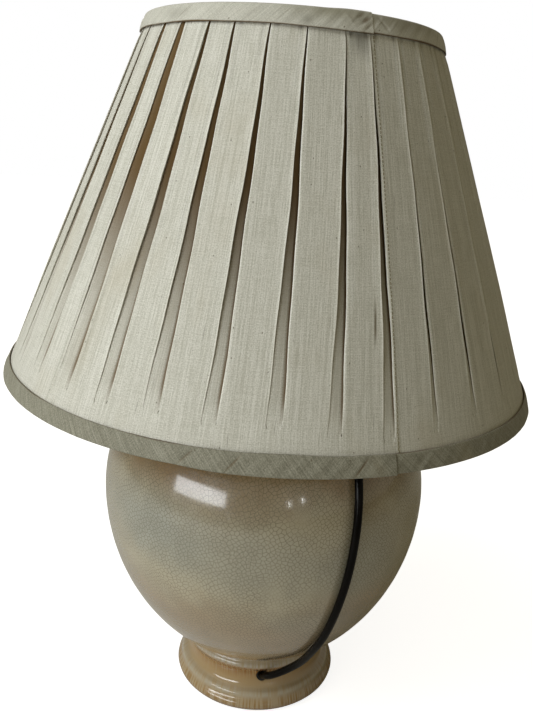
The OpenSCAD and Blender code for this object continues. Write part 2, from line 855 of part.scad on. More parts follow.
module frame_struts() {
  z0 = bottom_ring_z + ring_wire_r;
  z1 = top_ring_z - ring_wire_r;
  run = (z1 - z0) * flare;
  length = sqrt(run * run + (z1 - z0) * (z1 - z0));
  leaning() color("#9C9EA0") for (i = [0:struts - 1])
    rotate([0, 0, 360 * (i + 0.25) / struts]) translate([edge_r(z0) - strut_off, 0, z0])
      rotate([0, -atan(flare), 0]) cylinder(r = strut_wire_r, h = length, $fn = 24);
}

// Pleated cover: each pleat is a raised panel beside a folded-in strip that widens downwards
function share(z) =
  panel_bottom_share + (panel_top_share - panel_bottom_share) * (z - silk_low_z) / (silk_top_z - silk_low_z);
function fold(z) = pleat_depth * min(1, max(0.06, (z - silk_low_z) / fade_h));
function pleat_ring(z) = [
  for (i = [0:pleats - 1])
    let (
      a0 = pleat_turn + 360 / pleats * i,
      half = 360 / pleats * share(z) / 2,
      r = silk_r(z),
      lip = fold_lip / r * 180 / PI
    )
    each [
      polar(r, a0 - half, z),
      polar(r, a0 + half, z),
      polar(r - fold(z), a0 + half + lip, z),
      polar(r - fold(z), a0 + 360 / pleats - half - lip, z)
    ]
];
function inner_ring(z) = [
  for (i = [0:4 * pleats - 1])
    polar(silk_r(z) - silk_in, pleat_turn + 360 * (i - 0.5) / (4 * pleats), z)
];
module pleated_silk() {
  levels = [silk_low_z, silk_low_z + fade_h, silk_top_z];
  m = 4 * pleats;
  k = len(levels);
  outer = [for (z = levels) each pleat_ring(z)];
  inner = [for (z = levels) each inner_ring(z)];
  inner_at = k * m;
  side = [
    for (j = [0:k - 2]) for (i = [0:m - 1])
      let (a = j * m + i, b = j * m + (i + 1) % m)
      each [
        [a, a + m, b], [b, a + m, b + m],
        [inner_at + a, inner_at + b, inner_at + a + m], [inner_at + b, inner_at + b + m, inner_at + a + m]
      ]
  ];
  top_at = (k - 1) * m;
  rims = [
    for (i = [0:m - 1])
      let (a = i, b = (i + 1) % m, c = top_at + i, d = top_at + (i + 1) % m)
      each [
        [a, b, inner_at + a], [b, inner_at + b, inner_at + a],
        [c, inner_at + c, d], [d, inner_at + c, inner_at + d]
      ]
  ];
  leaning() color("#BDB8A5")
    polyhedron(points = concat(outer, inner), faces = concat(side, rims), convexity = 20);
}

module shade_lining() {
  leaning() color("#E9E4D6") shade_shell(lining_off, lining_off + lining_t, shade_z + 10, shade_top_z - 10);
}

// Binding folded over an edge: an outer leg, the fold and a shorter inner leg
module binding(z_edge, z_far, z_inner) {
  tip = z_far > z_edge ? 1 : -1;
  fold_z = z_edge + tip * binding_t;
  inside = ring_off + ring_wire_r + touch_gap;
  rotate_extrude($fn = 120) polygon([
    [edge_r(z_edge), z_edge],
    [edge_r(z_far), z_far],
    [edge_r(z_far) - binding_t, z_far],
    [edge_r(fold_z) - binding_t, fold_z],
    [edge_r(fold_z) - inside, fold_z],
    [edge_r(z_inner) - inside, z_inner],
    [edge_r(z_inner) - inside - binding_t, z_inner],
    [edge_r(z_edge) - inside - binding_t, z_edge]
  ]);
}

module top_binding() {
  leaning() color("#A9A695") binding(shade_top_z, shade_top_z - top_binding_h, top_ring_z - 5);
}

module bottom_binding() {
  leaning() color("#A9A695") binding(shade_z, shade_z + bottom_binding_h, bottom_ring_z + 0.8);
}

module cord_run() {
  color("#3A3416") tube(run_path, cord_r, flex_sides);
}

module cord_coil() {
  color("#3A3416") tube(coil_path, cord_r, coil_sides);
}

module cord_tail() {
  color("#3A3416") tube(tail_path, cord_r, flex_sides);
}

// Ties: flat loops round the coil's six strands, on opposite sides of the neck
module coil_ties() {
  in_s = -cord_r - coil_gap;
  out_s = coil_pitch * layer_turns + cord_r + coil_gap;
  low_n = -cord_r - coil_gap;
  high_n = coil_pitch + cord_r + coil_gap;
  color("#17150F") for (a = [70, 250]) rotate([0, 0, a - 90])
    translate([coil_in_r, 0, coil_in_z]) rotate([0, shoulder_slope, 0]) rotate([90, 0, 0])
      difference() {
        translate([in_s - tie_t, low_n - tie_t, -tie_w / 2])
          cube([out_s - in_s + 2 * tie_t, high_n - low_n + 2 * tie_t, tie_w]);
        translate([in_s, low_n, -tie_w]) cube([out_s - in_s, high_n - low_n, 2 * tie_w]);
      }
}

// Plug frame: +X runs towards the pins, +Z away from the shoulder
module plug_place() {
  translate(plug_centre) rotate([0, 0, plug_turn]) rotate([shoulder_slope, 0, 0]) children();
}

module plug_pin_places() {
  for (s = [-1, 1]) translate([plug_l / 2, s * pin_pitch / 2, 0]) rotate([0, 90, 0]) children();
}

module plug_body() {
  color("#17150F") plug_place() difference() {
    hull() {
      for (a = [-1, 1]) for (b = [-1, 1])
        translate([plug_l / 2 - 2, a * (plug_w / 2 - plug_round), b * (plug_t / 2 - plug_round)])
          rotate([0, 90, 0]) cylinder(r = plug_round, h = 2, $fn = 32);
      translate([plug_l / 2 - plug_nose, 0, 0]) cube([2, plug_w, plug_t - 3], center = true);
      translate([-plug_l / 2, 0, 0]) rotate([0, 90, 0]) cylinder(r = plug_t / 2 - 1, h = 2, $fn = 32);
    }
    plug_pin_places() translate([0, 0, -pin_root]) cylinder(r = pin_root_r + eps, h = pin_root + 1);
  }
}

module plug_pins() {
  color("#C9CBCE") plug_place() plug_pin_places() union() {
    translate([0, 0, -pin_root]) cylinder(r = pin_root_r, h = pin_root + pin_neck + 1);
    translate([0, 0, pin_neck]) cylinder(r = pin_r, h = pin_l);
  }
}

module plug_relief() {
  color("#17150F") plug_place() rotate([0, -90, 0]) translate([0, 0, plug_l / 2])
    cylinder(r1 = cord_r + 2.2, r2 = cord_r + 1, h = relief_l);
}

vase_body();
base_felt();
bottom_washer();
lock_washer();
bottom_nut();
threaded_rod();
cord_bush();
neck_gasket();
neck_cap();
neck_nut();
holder_lower_shell();
holder_barrel();
holder_insert();
terminal_screws();
contact_plungers();
plunger_springs();
shade_ring_nut();
switch_bar();
switch_knobs();
cord_grip();
inner_flex();
flex_cores();
bulb_glass();
bulb_cap();
bulb_insulator();
bulb_contacts();
bulb_stem();
bulb_filament();
gimbal_ring();
gimbal_arms();
top_wire_ring();
bottom_wire_ring();
frame_struts();
pleated_silk();
shade_lining();
top_binding();
bottom_binding();
cord_run();
cord_coil();
cord_tail();
coil_ties();
plug_relief();
plug_body();
plug_pins();
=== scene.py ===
# %% [markdown]
# # A table lamp: crackle-glazed body, box-pleated silk shade
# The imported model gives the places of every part. This file dresses it: surfaces that the eye
# studies are made again as fine meshes, and the metal fittings keep their solids and get their
# finish. Lengths are worked out in millimetres and stored in metres.

import bpy
import numpy as np
from mathutils import Matrix


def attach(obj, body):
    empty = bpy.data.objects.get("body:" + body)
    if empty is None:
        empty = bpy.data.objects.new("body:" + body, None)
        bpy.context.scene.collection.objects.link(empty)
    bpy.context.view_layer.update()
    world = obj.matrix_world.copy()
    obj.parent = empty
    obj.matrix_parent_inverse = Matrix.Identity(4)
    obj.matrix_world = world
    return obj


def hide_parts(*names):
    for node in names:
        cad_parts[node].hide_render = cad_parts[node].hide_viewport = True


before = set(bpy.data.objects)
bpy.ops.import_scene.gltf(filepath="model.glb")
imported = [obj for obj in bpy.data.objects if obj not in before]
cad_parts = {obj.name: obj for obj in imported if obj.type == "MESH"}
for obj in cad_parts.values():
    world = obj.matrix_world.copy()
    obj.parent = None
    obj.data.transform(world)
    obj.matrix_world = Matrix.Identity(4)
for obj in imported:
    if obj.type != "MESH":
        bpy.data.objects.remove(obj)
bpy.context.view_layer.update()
MM = 0.001
rng = np.random.default_rng(17)
print("CAD nodes:", len(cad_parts))

# %% [markdown]
# ## Small tools
# A surface is a grid of points worked out at once with numpy. A closed grid tells by the sign of its
# volume whether its faces point outwards, and an open tube by which way they look from its middle.


# %% Surfaces from grids
def arc(centre, radius, start, end, count):
    """Points of a circle's arc: centre + radius * (cos a, sin a), a from start to end in degrees."""
    a = np.radians(np.linspace(start, end, count))
    return np.column_stack([centre[0] + radius * np.cos(a), centre[1] + radius * np.sin(a)])


def smooth(x, low, high):
    """Cubic step 3u^2 - 2u^3, where u runs from 0 at low to 1 at high."""
    u = np.clip((x - low) / (high - low), 0, 1)
    return u * u * (3 - 2 * u)


def arc_length(points):
    """Length along a polyline at each of its points: the running sum of |p[i + 1] - p[i]|."""
    return np.r_[0, np.cumsum(np.linalg.norm(np.diff(points, axis=0), axis=1))]


def even(points, spacing):
    """Points at an even spacing along a polyline, by linear interpolation over its arc length."""
    length = arc_length(points)
    at = np.linspace(0, length[-1], max(2, int(round(length[-1] / spacing)) + 1))
    return np.column_stack([np.interp(at, length, points[:, k]) for k in range(points.shape[1])])


def soften(points, passes):
    """Corner cutting: each pass replaces a corner by points at 1/4 and 3/4 of its two sides."""
    for _ in range(passes):
        a, b = points[:-1], points[1:]
        cut = np.stack([0.75 * a + 0.25 * b, 0.25 * a + 0.75 * b], axis=1).reshape(-1, points.shape[1])
        points = np.vstack([points[:1], cut, points[-1:]])
    return points


def grid_mesh(name, grid, wrap=(False, False), uv=None, values=None):
    """Object from a grid of points (rows, columns, 3) in mm, with quads between neighbours.

    wrap closes the rows or the columns on themselves, uv holds two lengths in metres for each grid
    corner with one more row or column where it wraps, and values are float attributes of the points.
    """
    rows, cols = grid.shape[:2]
    r, c = np.indices((rows - (not wrap[0]), cols - (not wrap[1]))).reshape(2, -1)
    corner_r = np.stack([r, r, r + 1, r + 1], 1)
    corner_c = np.stack([c, c + 1, c + 1, c], 1)
    faces = (corner_r % rows) * cols + corner_c % cols
    p = grid.reshape(-1, 3)
    a, b, d, e = (p[faces[:, k]] for k in range(4))
    normal = np.cross(d - a, e - b)
    ring_middle = np.zeros(3) if all(wrap) else grid.mean(axis=1)[r]
    if (normal * (a - ring_middle)).sum() < 0:
        faces, corner_r, corner_c = faces[:, ::-1], corner_r[:, ::-1], corner_c[:, ::-1]
    mesh = bpy.data.meshes.new(name)
    mesh.from_pydata((p * MM).tolist(), [], faces.tolist())
    mesh.shade_smooth()
    if uv is not None:
        layer = mesh.uv_layers.new(name="surface")
        layer.uv.foreach_set("vector", uv[corner_r, corner_c].astype(np.float32).ravel())
    for key, value in (values or {}).items():
        mesh.attributes.new(key, "FLOAT", "POINT").data.foreach_set("value", value.astype(np.float32).ravel())
    obj = bpy.data.objects.new(name, mesh)
    bpy.context.collection.objects.link(obj)
    return obj


def around(radius, angle, z):
    """Points (r sin a, -r cos a, z): angle 0 is the front, and it grows towards the right."""
    a = np.radians(angle)
    return np.stack(np.broadcast_arrays(radius * np.sin(a), -radius * np.cos(a), z), axis=-1)


def tube_rings(path, radius, sides, up):
    """Rings round a path: each stands square to the path, and the frame is carried without twist."""
    t = np.gradient(path, axis=0)
    t /= np.linalg.norm(t, axis=1)[:, None]
    n = np.array(up, float)
    rings = np.empty((len(path), sides, 3))
    a = np.linspace(0, 2 * np.pi, sides, endpoint=False)
    for i in range(len(path)):
        n = n - (n @ t[i]) * t[i]
        n /= np.linalg.norm(n)
        b = np.cross(t[i], n)
        rings[i] = path[i] + radius * (np.cos(a)[:, None] * n + np.sin(a)[:, None] * b)
    return rings


# %% Colours, nodes and materials
def linear(hex_colour):
    """sRGB hex to linear RGBA: c / 12.92 below 0.04045, else ((c + 0.055) / 1.055) ** 2.4."""
    c = np.array([int(hex_colour[i : i + 2], 16) for i in (1, 3, 5)]) / 255
    c = np.where(c <= 0.04045, c / 12.92, ((c + 0.055) / 1.055) ** 2.4)
    return (*c.tolist(), 1.0)


def add(tree, kind, inputs=None, out=0, **settings):
    """Adds a node with its properties, values and links, and gives one of its outputs."""
    made = tree.nodes.new("ShaderNode" + kind)
    for key, value in settings.items():
        setattr(made, key, value)
    for key, value in (inputs or {}).items():
        if isinstance(value, bpy.types.NodeSocket):
            tree.links.new(value, made.inputs[key])
        else:
            made.inputs[key].default_value = value
    return made.outputs[out] if len(made.outputs) else None


def new_material(name):
    """Material with an empty node tree."""
    material = bpy.data.materials.new(name)
    material.use_nodes = True
    material.node_tree.nodes.clear()
    return material, material.node_tree


def tinted(tree, tone, value, low, high, strength, colour, mask=None):
    """Mixes a colour into a tone by a share that eases from 0 to the strength, times a mask."""
    share = {"Value": value, "From Min": low, "From Max": high, "To Max": strength}
    share = add(tree, "MapRange", share, **EASED)
    if mask:
        share = add(tree, "Math", {0: share, 1: mask}, operation="MULTIPLY")
    return add(tree, "Mix", {0: share, 6: tone, 7: linear(colour)}, **COLOURS)


def blot(tree, tone, at, centre, size, noise, ragged, start, strength, colour):
    """Tints a patch: the distance from its centre, times one over its sizes, is made ragged by noise."""
    shift = add(tree, "VectorMath", {0: at, 1: centre}, operation="SUBTRACT")
    shaped = add(tree, "VectorMath", {0: shift, 1: size}, operation="MULTIPLY")
    away = add(tree, "VectorMath", {0: shaped}, out="Value", operation="LENGTH")
    away = add(tree, "Math", {0: noise, 1: -ragged, 2: away}, operation="MULTIPLY_ADD")
    return tinted(tree, tone, away, start, start - 1, strength, colour)


def stretched_noise(tree, at, scale, detail=2.0):
    """Noise whose pattern repeats at its own rate along each axis, as threads and runs do."""
    at = add(tree, "Mapping", {"Vector": at, "Scale": scale})
    return add(tree, "TexNoise", {"Vector": at, "Scale": 1.0, "Detail": detail})


def surfaced(tree, look, height, strength, depth):
    """Ends a material with its look and a relief: a height, its strength and its depth in metres."""
    bump = add(tree, "Bump", {"Height": height, "Strength": strength, "Distance": depth})
    add(tree, "OutputMaterial", {"Surface": add(tree, "BsdfPrincipled", {**look, "Normal": bump})})


def clear_share(tree):
    """1 for a ray that comes from the camera or through glass, and 0 for any other."""
    camera_ray = add(tree, "LightPath", out="Is Camera Ray")
    through_ray = add(tree, "LightPath", out="Is Transmission Ray")
    return add(tree, "Math", {0: camera_ray, 1: through_ray}, operation="MAXIMUM")


def place(obj, x_axis, z_axis, origin):
    """Puts an object at an origin, with its X and Z axes along two directions square to each other."""
    matrix = np.eye(4)
    matrix[:3] = np.column_stack([x_axis, np.cross(z_axis, x_axis), z_axis, origin])
    obj.matrix_world = Matrix(matrix.tolist())


def dress(obj, material, body, replaces=()):
    """Gives a piece its material, its body and the nodes that it stands for."""
    obj.data.materials.clear()
    obj.data.materials.append(material)
    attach(obj, body)
    if replaces:
        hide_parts(*replaces)


EASED = {"interpolation_type": "SMOOTHSTEP"}
COLOURS = {"out": 2, "data_type": "RGBA"}

# %% [markdown]
# ## Camera
# The lamp was seen from close by and above its middle, so the shade's lower rim is a wide arc and
# the foot looks small. The camera stands 0.57 m in front and looks down by 17 degrees.

# %% Camera
view_pan, view_pitch, view_roll = np.radians([-0.282, 16.703, 2.855])
view_place = np.array([0.0, -0.567, 0.4578])
focal_px, frame_height_px, sensor_mm = 740, 711, 36
level = np.cos(view_pitch)
forward = np.array([np.sin(view_pan) * level, np.cos(view_pan) * level, -np.sin(view_pitch)])
level_right = np.array([np.cos(view_pan), -np.sin(view_pan), 0])
level_up = np.cross(level_right, forward)
view_right = np.cos(view_roll) * level_right + np.sin(view_roll) * level_up
camera_data = bpy.data.cameras.new("camera")
camera_data.sensor_width = sensor_mm
camera_data.lens = focal_px / frame_height_px * sensor_mm
camera = bpy.data.objects.new("camera", camera_data)
bpy.context.collection.objects.link(camera)
place(camera, view_right, -forward, view_place)
bpy.context.scene.camera = camera
print("camera at", view_place.tolist())

# %% [markdown]
# ## Shape of the ceramic body
# The belly is three arcs that hand over to each other, as a potter's rib would draw them: a long one
# below the widest point, a rounder one above it, and a tight one into the shoulder. The cord lies on
# this shape, so it comes first.

# %% Body profile
belly_r, belly_z = 130, 181
lower_arc, upper_arc, shoulder_arc, shoulder_slope = 167, 118, 55, 10
neck_r, neck_h, lip_out, lip_h, wall = 19.5, 22, 3, 5, 6
foot_h, cove_r, hollow_r, floor_t, felt_t = 45, 56.5, 47, 9, 2
cos_d, sin_d = lambda a: np.cos(np.radians(a)), lambda a: np.sin(np.radians(a))
slope_tan = np.tan(np.radians(shoulder_slope))
low_c, up_c = (belly_r - lower_arc, belly_z), (belly_r - upper_arc, belly_z)
hand_over = np.array(up_c) + upper_arc * np.array([cos_d(25), sin_d(25)])
shoulder_c = hand_over - shoulder_arc * np.array([cos_d(25), sin_d(25)])
dome_edge = shoulder_c + shoulder_arc * np.array([cos_d(80), sin_d(80)])


def dome_z(radius):
    """Height of the shoulder's cone at a radius."""
    return dome_edge[1] + (dome_edge[0] - radius) * slope_tan


neck_base_z = dome_z(neck_r)
neck_top_z = neck_base_z + neck_h
print("neck from", round(neck_base_z, 1), "to", round(neck_top_z, 1))

# %% [markdown]
# ## Flex
# The lamp has about 1.8 m of round flex, 6 mm thick. It leaves the bush in the foot, climbs the belly
# in one easy curve, crosses the shoulder and lies there in a coil of two layers round the neck, with
# its plug beside it. A smooth curve through the route's points keeps every bend wide.

# %% Route of the flex
cord_r = 3
outlet_turn, outlet_slant, outlet_z = 6.9, 25, 28.5
outlet_dir = around(cos_d(outlet_slant), outlet_turn, sin_d(outlet_slant))
outlet_mouth = around(cove_r, outlet_turn, outlet_z)
run_points = [
    [13, -67, 36.5], [19.5, -69.5, 42.3], [26.5, -73, 49.3], [33, -78, 58], [38.5, -85.3, 69.5],
    [43.7, -96, 87],
    [48.5, -102.5, 100], [52, -108, 114], [55.5, -113, 130], [58.5, -116.5, 146], [61.5, -118, 163],
    [63.5, -118, 179], [65, -116.5, 194], [66, -113, 208], [66, -109, 221], [65.5, -103.5, 233],
    [64.5, -94.5, 245.5], [64, -81.5, 255.5], [64, -66, 262], [64, -48, 265.5], [63.5, -29, 267.5],
    [60.5, -8, 269],
]
coil_pitch, layer_turns, coil_start, clearance = 6.6, 3, 155, 1.6
coil_r0 = neck_r + clearance + cord_r + 1
coil_z0 = dome_z(coil_r0) + (clearance + cord_r) / cos_d(shoulder_slope)


def coil_at(turns):
    """Centreline of the coil: spirals in along the shoulder, climbs one pitch, and spirals out again."""
    climb = coil_pitch * smooth(turns, layer_turns - 0.25, layer_turns + 0.25)
    out = coil_pitch * np.abs(layer_turns - turns)
    radius = coil_r0 + out * cos_d(shoulder_slope) + climb * sin_d(shoulder_slope)
    height = coil_z0 - out * sin_d(shoulder_slope) + climb * cos_d(shoulder_slope)
    return around(radius, coil_start + 360 * turns, height)


def spline(points, spacing):
    """Catmull-Rom curve through the points, spaced evenly."""
    p = np.array(points, float)
    p = np.vstack([p[:1], p, p[-1:]])
    u = np.linspace(0, 1, 24, endpoint=False)[None, :, None]
    a, b, c, d = (p[k : len(p) - 3 + k][:, None, :] for k in range(4))
    curve = 2 * b + (c - a) * u + (2 * a - 5 * b + 4 * c - d) * u**2 + (3 * b - a - 3 * c + d) * u**3
    curve = 0.5 * curve
    return even(np.vstack([curve.reshape(-1, 3), p[-1:]]), spacing)


def unit(v):
    """Vector of length one."""
    return v / np.linalg.norm(v)


turns = 2 * layer_turns
coil_in_dir = unit(coil_at(0.002) - coil_at(0))
coil_first = coil_at(0) - 2 * cord_r * coil_in_dir
plug_l, plug_t, relief_l, plug_turn, plug_at_r, plug_ahead = 36, 14, 20, 252, 69.5, 4
plug_dir = np.array([cos_d(plug_turn), sin_d(plug_turn), 0])
plug_lift = plug_t / 2 + 0.3
plug_r = plug_at_r + plug_lift * sin_d(shoulder_slope)
plug_z = dome_z(plug_at_r) + plug_lift * cos_d(shoulder_slope)
plug_centre = plug_ahead * plug_dir + around(plug_r, plug_turn, plug_z)
relief_end = plug_centre - (plug_l / 2 + relief_l) * plug_dir
flex_points = [outlet_mouth, outlet_mouth + 2.5 * outlet_dir, *run_points]
flex_points += [around(54.5, 103, dome_z(54.5) + 4), around(49.8, 121, dome_z(49.8) + 4.3)]
flex_points += [coil_first - 8 * coil_in_dir, coil_first]
# The tail leaves the coil straight on, then turns into the plug's strain relief in one arc
leave_deg, tail_r, rest_h = 148, 27.5, 3.5
flex_points += list(coil_at(np.linspace(0, turns - (coil_start - leave_deg) / 360, turns * 24)))
tail_middle = relief_end - around(tail_r, plug_turn, 0)
tail_turn = np.linspace(leave_deg, plug_turn, 9)
tail = around(tail_r, tail_turn, 0) + tail_middle
tail_rest = dome_z(np.hypot(tail[:, 0], tail[:, 1])) + rest_h
lift = smooth(tail_turn, 190, plug_turn)
tail[:, 2] = tail_rest + (relief_end[2] - tail_rest) * lift
leave = flex_points[-1]
for share, height in ((0.33, 277.8), (0.66, 272.2)):
    flex_points.append([*(leave + share * (tail[0] - leave))[:2], height])
flex_points += list(tail)
flex_path = spline(flex_points, 3.0)
# The rings of the run and of the tail are eased, and the coil keeps its own shape
for first, last in ((1, 138), (len(flex_path) - 30, len(flex_path) - 2)):
    for _ in range(16):
        beside = flex_path[first - 1 : last - 1] + flex_path[first + 1 : last + 1]
        flex_path[first:last] = 0.5 * flex_path[first:last] + 0.25 * beside
flex_length = arc_length(flex_path)[-1]
jacket_r, first_up = cord_r - 0.05, [0.13, 0.21, 0.97]
flex_rings = tube_rings(flex_path, jacket_r, 18, first_up)
flex_along = np.linspace(0, flex_length, len(flex_path))[:, None]
flex_uv = np.stack(np.broadcast_arrays(flex_along, np.linspace(0, 19, 19)), -1)
flex = grid_mesh("flex", flex_rings, (False, True), flex_uv * MM)
print("flex", round(flex_length), "mm, rings", len(flex_path))

# %% [markdown]
# The flex is soft PVC: shiny when new and duller where hands have rubbed it. Long soft lumps in the
# jacket break its highlight, as plasticised sleeves have.

# %% Flex jacket
flex_pvc, tree = new_material("flex_soft_pvc")
coords = add(tree, "TexCoord", out="Object")
along_flex = add(tree, "TexCoord", out="UV")
dull = add(tree, "TexNoise", {"Vector": coords, "Scale": 90.0, "Detail": 4.0})
lumps = stretched_noise(tree, along_flex, (90, 40, 1))
jacket = tinted(tree, linear("#050301"), dull, 0.35, 0.75, 1.0, "#0B0703")
jacket_rough = add(tree, "MapRange", {"Value": dull, "To Min": 0.12, "To Max": 0.3})
look = {"Base Color": jacket, "Roughness": jacket_rough, "Specular IOR Level": 0.1}
surfaced(tree, look, lumps, 0.35, 0.001)
dress(flex, flex_pvc, "base", ["cord_run", "cord_coil", "cord_tail"])

# %% [markdown]
# ## Ceramic body
# The section runs over the foot, the belly, the shoulder and the neck, and back down inside, so the
# body is hollow with a real wall. Corner cutting rounds its corners as glaze does, and a slow wobble
# of a fifth of a millimetre keeps reflections from looking machine-made. The outlet is drilled.

# %% Section and lathe
low_end = -np.degrees(np.arcsin((belly_z - foot_h - 2) / lower_arc))
cavity_low_z = foot_h + floor_t / 2
ceiling_z = cavity_low_z - floor_t
cavity_end = -np.degrees(np.arcsin((belly_z - cavity_low_z) / (lower_arc - wall)))
rod_hole_r, neck_bore_r, lip_r = 5.3, neck_r - wall, neck_r + lip_out
outside = np.vstack(
    [
        [[rod_hole_r, ceiling_z], [hollow_r, ceiling_z], [hollow_r, felt_t]],
        arc((64.5, felt_t + 4.5), 4.5, -90, 60, 14),
        arc((62.6, felt_t + 12.5), 2.6, -20, 75, 10),
        arc((cove_r + 13.5, foot_h - 18), 13.5, 222, 138, 22),
        arc((cove_r + 2.7, foot_h - 4.8), 3.2, -45, 60, 10),
        [[cove_r + 2.1, foot_h - 0.6]],
        arc(low_c, lower_arc, low_end, 0, 70),
        arc(up_c, upper_arc, 2, 25, 26),
        arc(shoulder_c, shoulder_arc, 28, 80, 30),
        [[neck_r + 2, neck_base_z - 0.3], [neck_r, neck_base_z + 2], [neck_r, neck_top_z - lip_h]],
        [[lip_r - 1, neck_top_z - lip_h], [lip_r, neck_top_z - lip_h + 1.2], [lip_r, neck_top_z - 1.5]],
        [[lip_r - 1.5, neck_top_z], [neck_bore_r, neck_top_z], [neck_bore_r, dome_z(neck_bore_r) - wall]],
        arc(shoulder_c, shoulder_arc - wall, 80, 28, 8),
        arc(up_c, upper_arc - wall, 25, 2, 6),
        arc(low_c, lower_arc - wall, 0, cavity_end, 22),
        [[rod_hole_r, cavity_low_z]],
    ]
)
section = even(soften(outside, 2), 1.9)


def hand_thrown(radius, height, angle):
    """Slow change of radius in mm: two waves round the body that drift with height, none at the foot."""
    a = np.radians(angle)
    wave = 0.12 * np.sin(2 * a + height / 60) + 0.07 * np.sin(3 * a - height / 35 + 1)
    ribs = 0.03 * np.sin(height / 2.4 + 0.6 * np.sin(a))
    return (wave + ribs) * smooth(height, 40, 80) * smooth(radius, 20, 60)


# The closed section is turned round, with its seam at the back
turned_by = np.linspace(-180, 180, 265)[None, :]
section_r, section_z = section[:, :1], section[:, 1:]
thrown_r = section_r + hand_thrown(section_r, section_z, turned_by)
body_points = around(thrown_r, turned_by, section_z)[:, :-1]
# Lengths over the glaze: round the body at a softened radius, and along the section
closed = np.vstack([section, section[:1]])
round_length = np.radians(turned_by) * (52 + 0.6 * closed[:, :1])
body_uv = np.stack(np.broadcast_arrays(round_length, arc_length(closed)[:, None]), -1)
body = grid_mesh("ceramic_body", body_points, (True, True), body_uv * MM)
outlet_r, drill_l = 4.6, 40
bpy.ops.mesh.primitive_cylinder_add(vertices=48, radius=outlet_r * MM, depth=drill_l * MM)
drill = bpy.context.object
side = unit(np.cross([0, 0, 1], outlet_dir))
place(drill, side, outlet_dir, (outlet_mouth - 5 * outlet_dir) * MM)
bpy.context.view_layer.update()
cut = body.modifiers.new("outlet", "BOOLEAN")
cut.operation, cut.object, cut.solver = "DIFFERENCE", drill, "EXACT"
bored = bpy.data.meshes.new_from_object(body.evaluated_get(bpy.context.evaluated_depsgraph_get()))
body.modifiers.clear()
body.data = bored
bpy.data.objects.remove(drill)
print("ceramic body faces:", len(body.data.polygons))

# %% [markdown]
# The body is glazed stoneware. Its glaze shrank more than the clay and crazed into small squarish
# cells, about 3 mm across, in which half-size ones started. Stain drew into the lines unevenly.
# The colour is a warm stone, bluish grey where the glaze lies thick on the left, and browner below the
# widest point. Near the neck it is browner too, partly stain and partly painted shade from the shade's
# rim above it. It pooled amber in the cove and ran in streaks on the brim.

# %% Crackle glaze
glaze, tree = new_material("crackle_glazed_stoneware")
coords = add(tree, "TexCoord", out="Object")
surface = add(tree, "TexCoord", out="UV")
cloud = add(tree, "TexNoise", {"Vector": coords, "Scale": 11.0, "Detail": 5.0, "Roughness": 0.6})
warp = add(tree, "TexNoise", {"Vector": coords, "Scale": 28.0, "Detail": 2.0}, out="Color")
warped = add(tree, "Mix", {0: 0.011, 4: surface, 5: warp}, out=1, data_type="VECTOR")
height = add(tree, "SeparateXYZ", {0: coords}, out="Z")
tone, drift = linear("#BCB399"), 0.09
# Height of each tint's start and end in metres, strength, colour
for low, high, strength, tint in (
    # Brown under the shade: stain, and painted shade where the shade's rim keeps the light off
    (0.2, 0.24, 0.9, "#866636"),
    (0.16, 0.11, 0.7, "#A88D69"),
    (0.112, 0.07, 0.35, "#A6966F"),
):
    drifting = add(tree, "Math", {0: cloud, 1: drift, 2: height}, operation="MULTIPLY_ADD")
    tone = tinted(tree, tone, drifting, low + drift / 2, high + drift / 2, strength, tint)
# Grey-blue patches: centre in metres, one over the size along each axis, strength
for centre, size, strength in (
    ((-0.085, -0.095, 0.192), (20, 9, 30), 0.9),
    ((-0.02, -0.13, 0.18), (13, 9, 30), 0.5),
    ((0.075, -0.11, 0.165), (20, 12, 26), 0.5),
    ((0.05, -0.11, 0.12), (20, 12, 40), 0.3),
):
    tone = blot(tree, tone, coords, centre, size, cloud, 1.6, 0.35, strength, "#A2A396")
# Glaze pooled in the cove and thin on the brim: heights in metres, noise limits, strength, colour
streaks = stretched_noise(tree, surface, (420, 24, 1), 4.0)
for low, mid, high, noise_low, noise_high, strength, tint in (
    (0.013, 0.027, 0.041, 0.1, 0.45, 0.8, "#A98850"),
    (0.022, 0.036, 0.045, 0.42, 0.56, 0.9, "#96570F"),
    (0.038, 0.041, 0.045, 0.35, 0.6, 0.7, "#C4C3B5"),
    (0.011, 0.0155, 0.02, 0.3, 0.55, 0.55, "#B3B0A0"),
    (0.001, 0.008, 0.016, 0.42, 0.58, 0.75, "#8F6A2C"),
    (-0.004, 0.002, 0.007, 0.2, 0.5, 0.9, "#80461A"),
):
    rise = add(tree, "MapRange", {"Value": height, "From Min": low, "From Max": mid}, **EASED)
    fall = add(tree, "MapRange", {"Value": height, "From Min": high, "From Max": mid}, **EASED)
    band = add(tree, "Math", {0: rise, 1: fall}, operation="MULTIPLY")
    tone = tinted(tree, tone, streaks, noise_low, noise_high, strength, tint, band)
# Two generations of cracks: cells per metre, line width in cells, limits of the stain's noise, strength
lines = None
for scale, width, low, high, strength in ((345, 0.085, 0.16, 0.5, 0.78), (640, 0.12, 0.34, 0.6, 0.5)):
    turned = add(tree, "Mapping", {"Vector": warped, "Rotation": (0, 0, scale)})
    cells = {"Vector": turned, "Scale": scale, "Randomness": 0.75}
    edge = add(tree, "TexVoronoi", cells, feature="DISTANCE_TO_EDGE", voronoi_dimensions="2D")
    line = {"Value": edge, "From Min": width, "From Max": width * 0.2, "To Max": strength}
    line = add(tree, "MapRange", line, **EASED)
    stain = add(tree, "TexNoise", {"Vector": coords, "Scale": scale * 0.08, "Detail": 3.0})
    stained = add(tree, "MapRange", {"Value": stain, "From Min": low, "From Max": high}, **EASED)
    line = add(tree, "Math", {0: line, 1: stained}, operation="MULTIPLY")
    lines = add(tree, "Math", {0: line, 1: lines}, operation="MAXIMUM") if lines else line
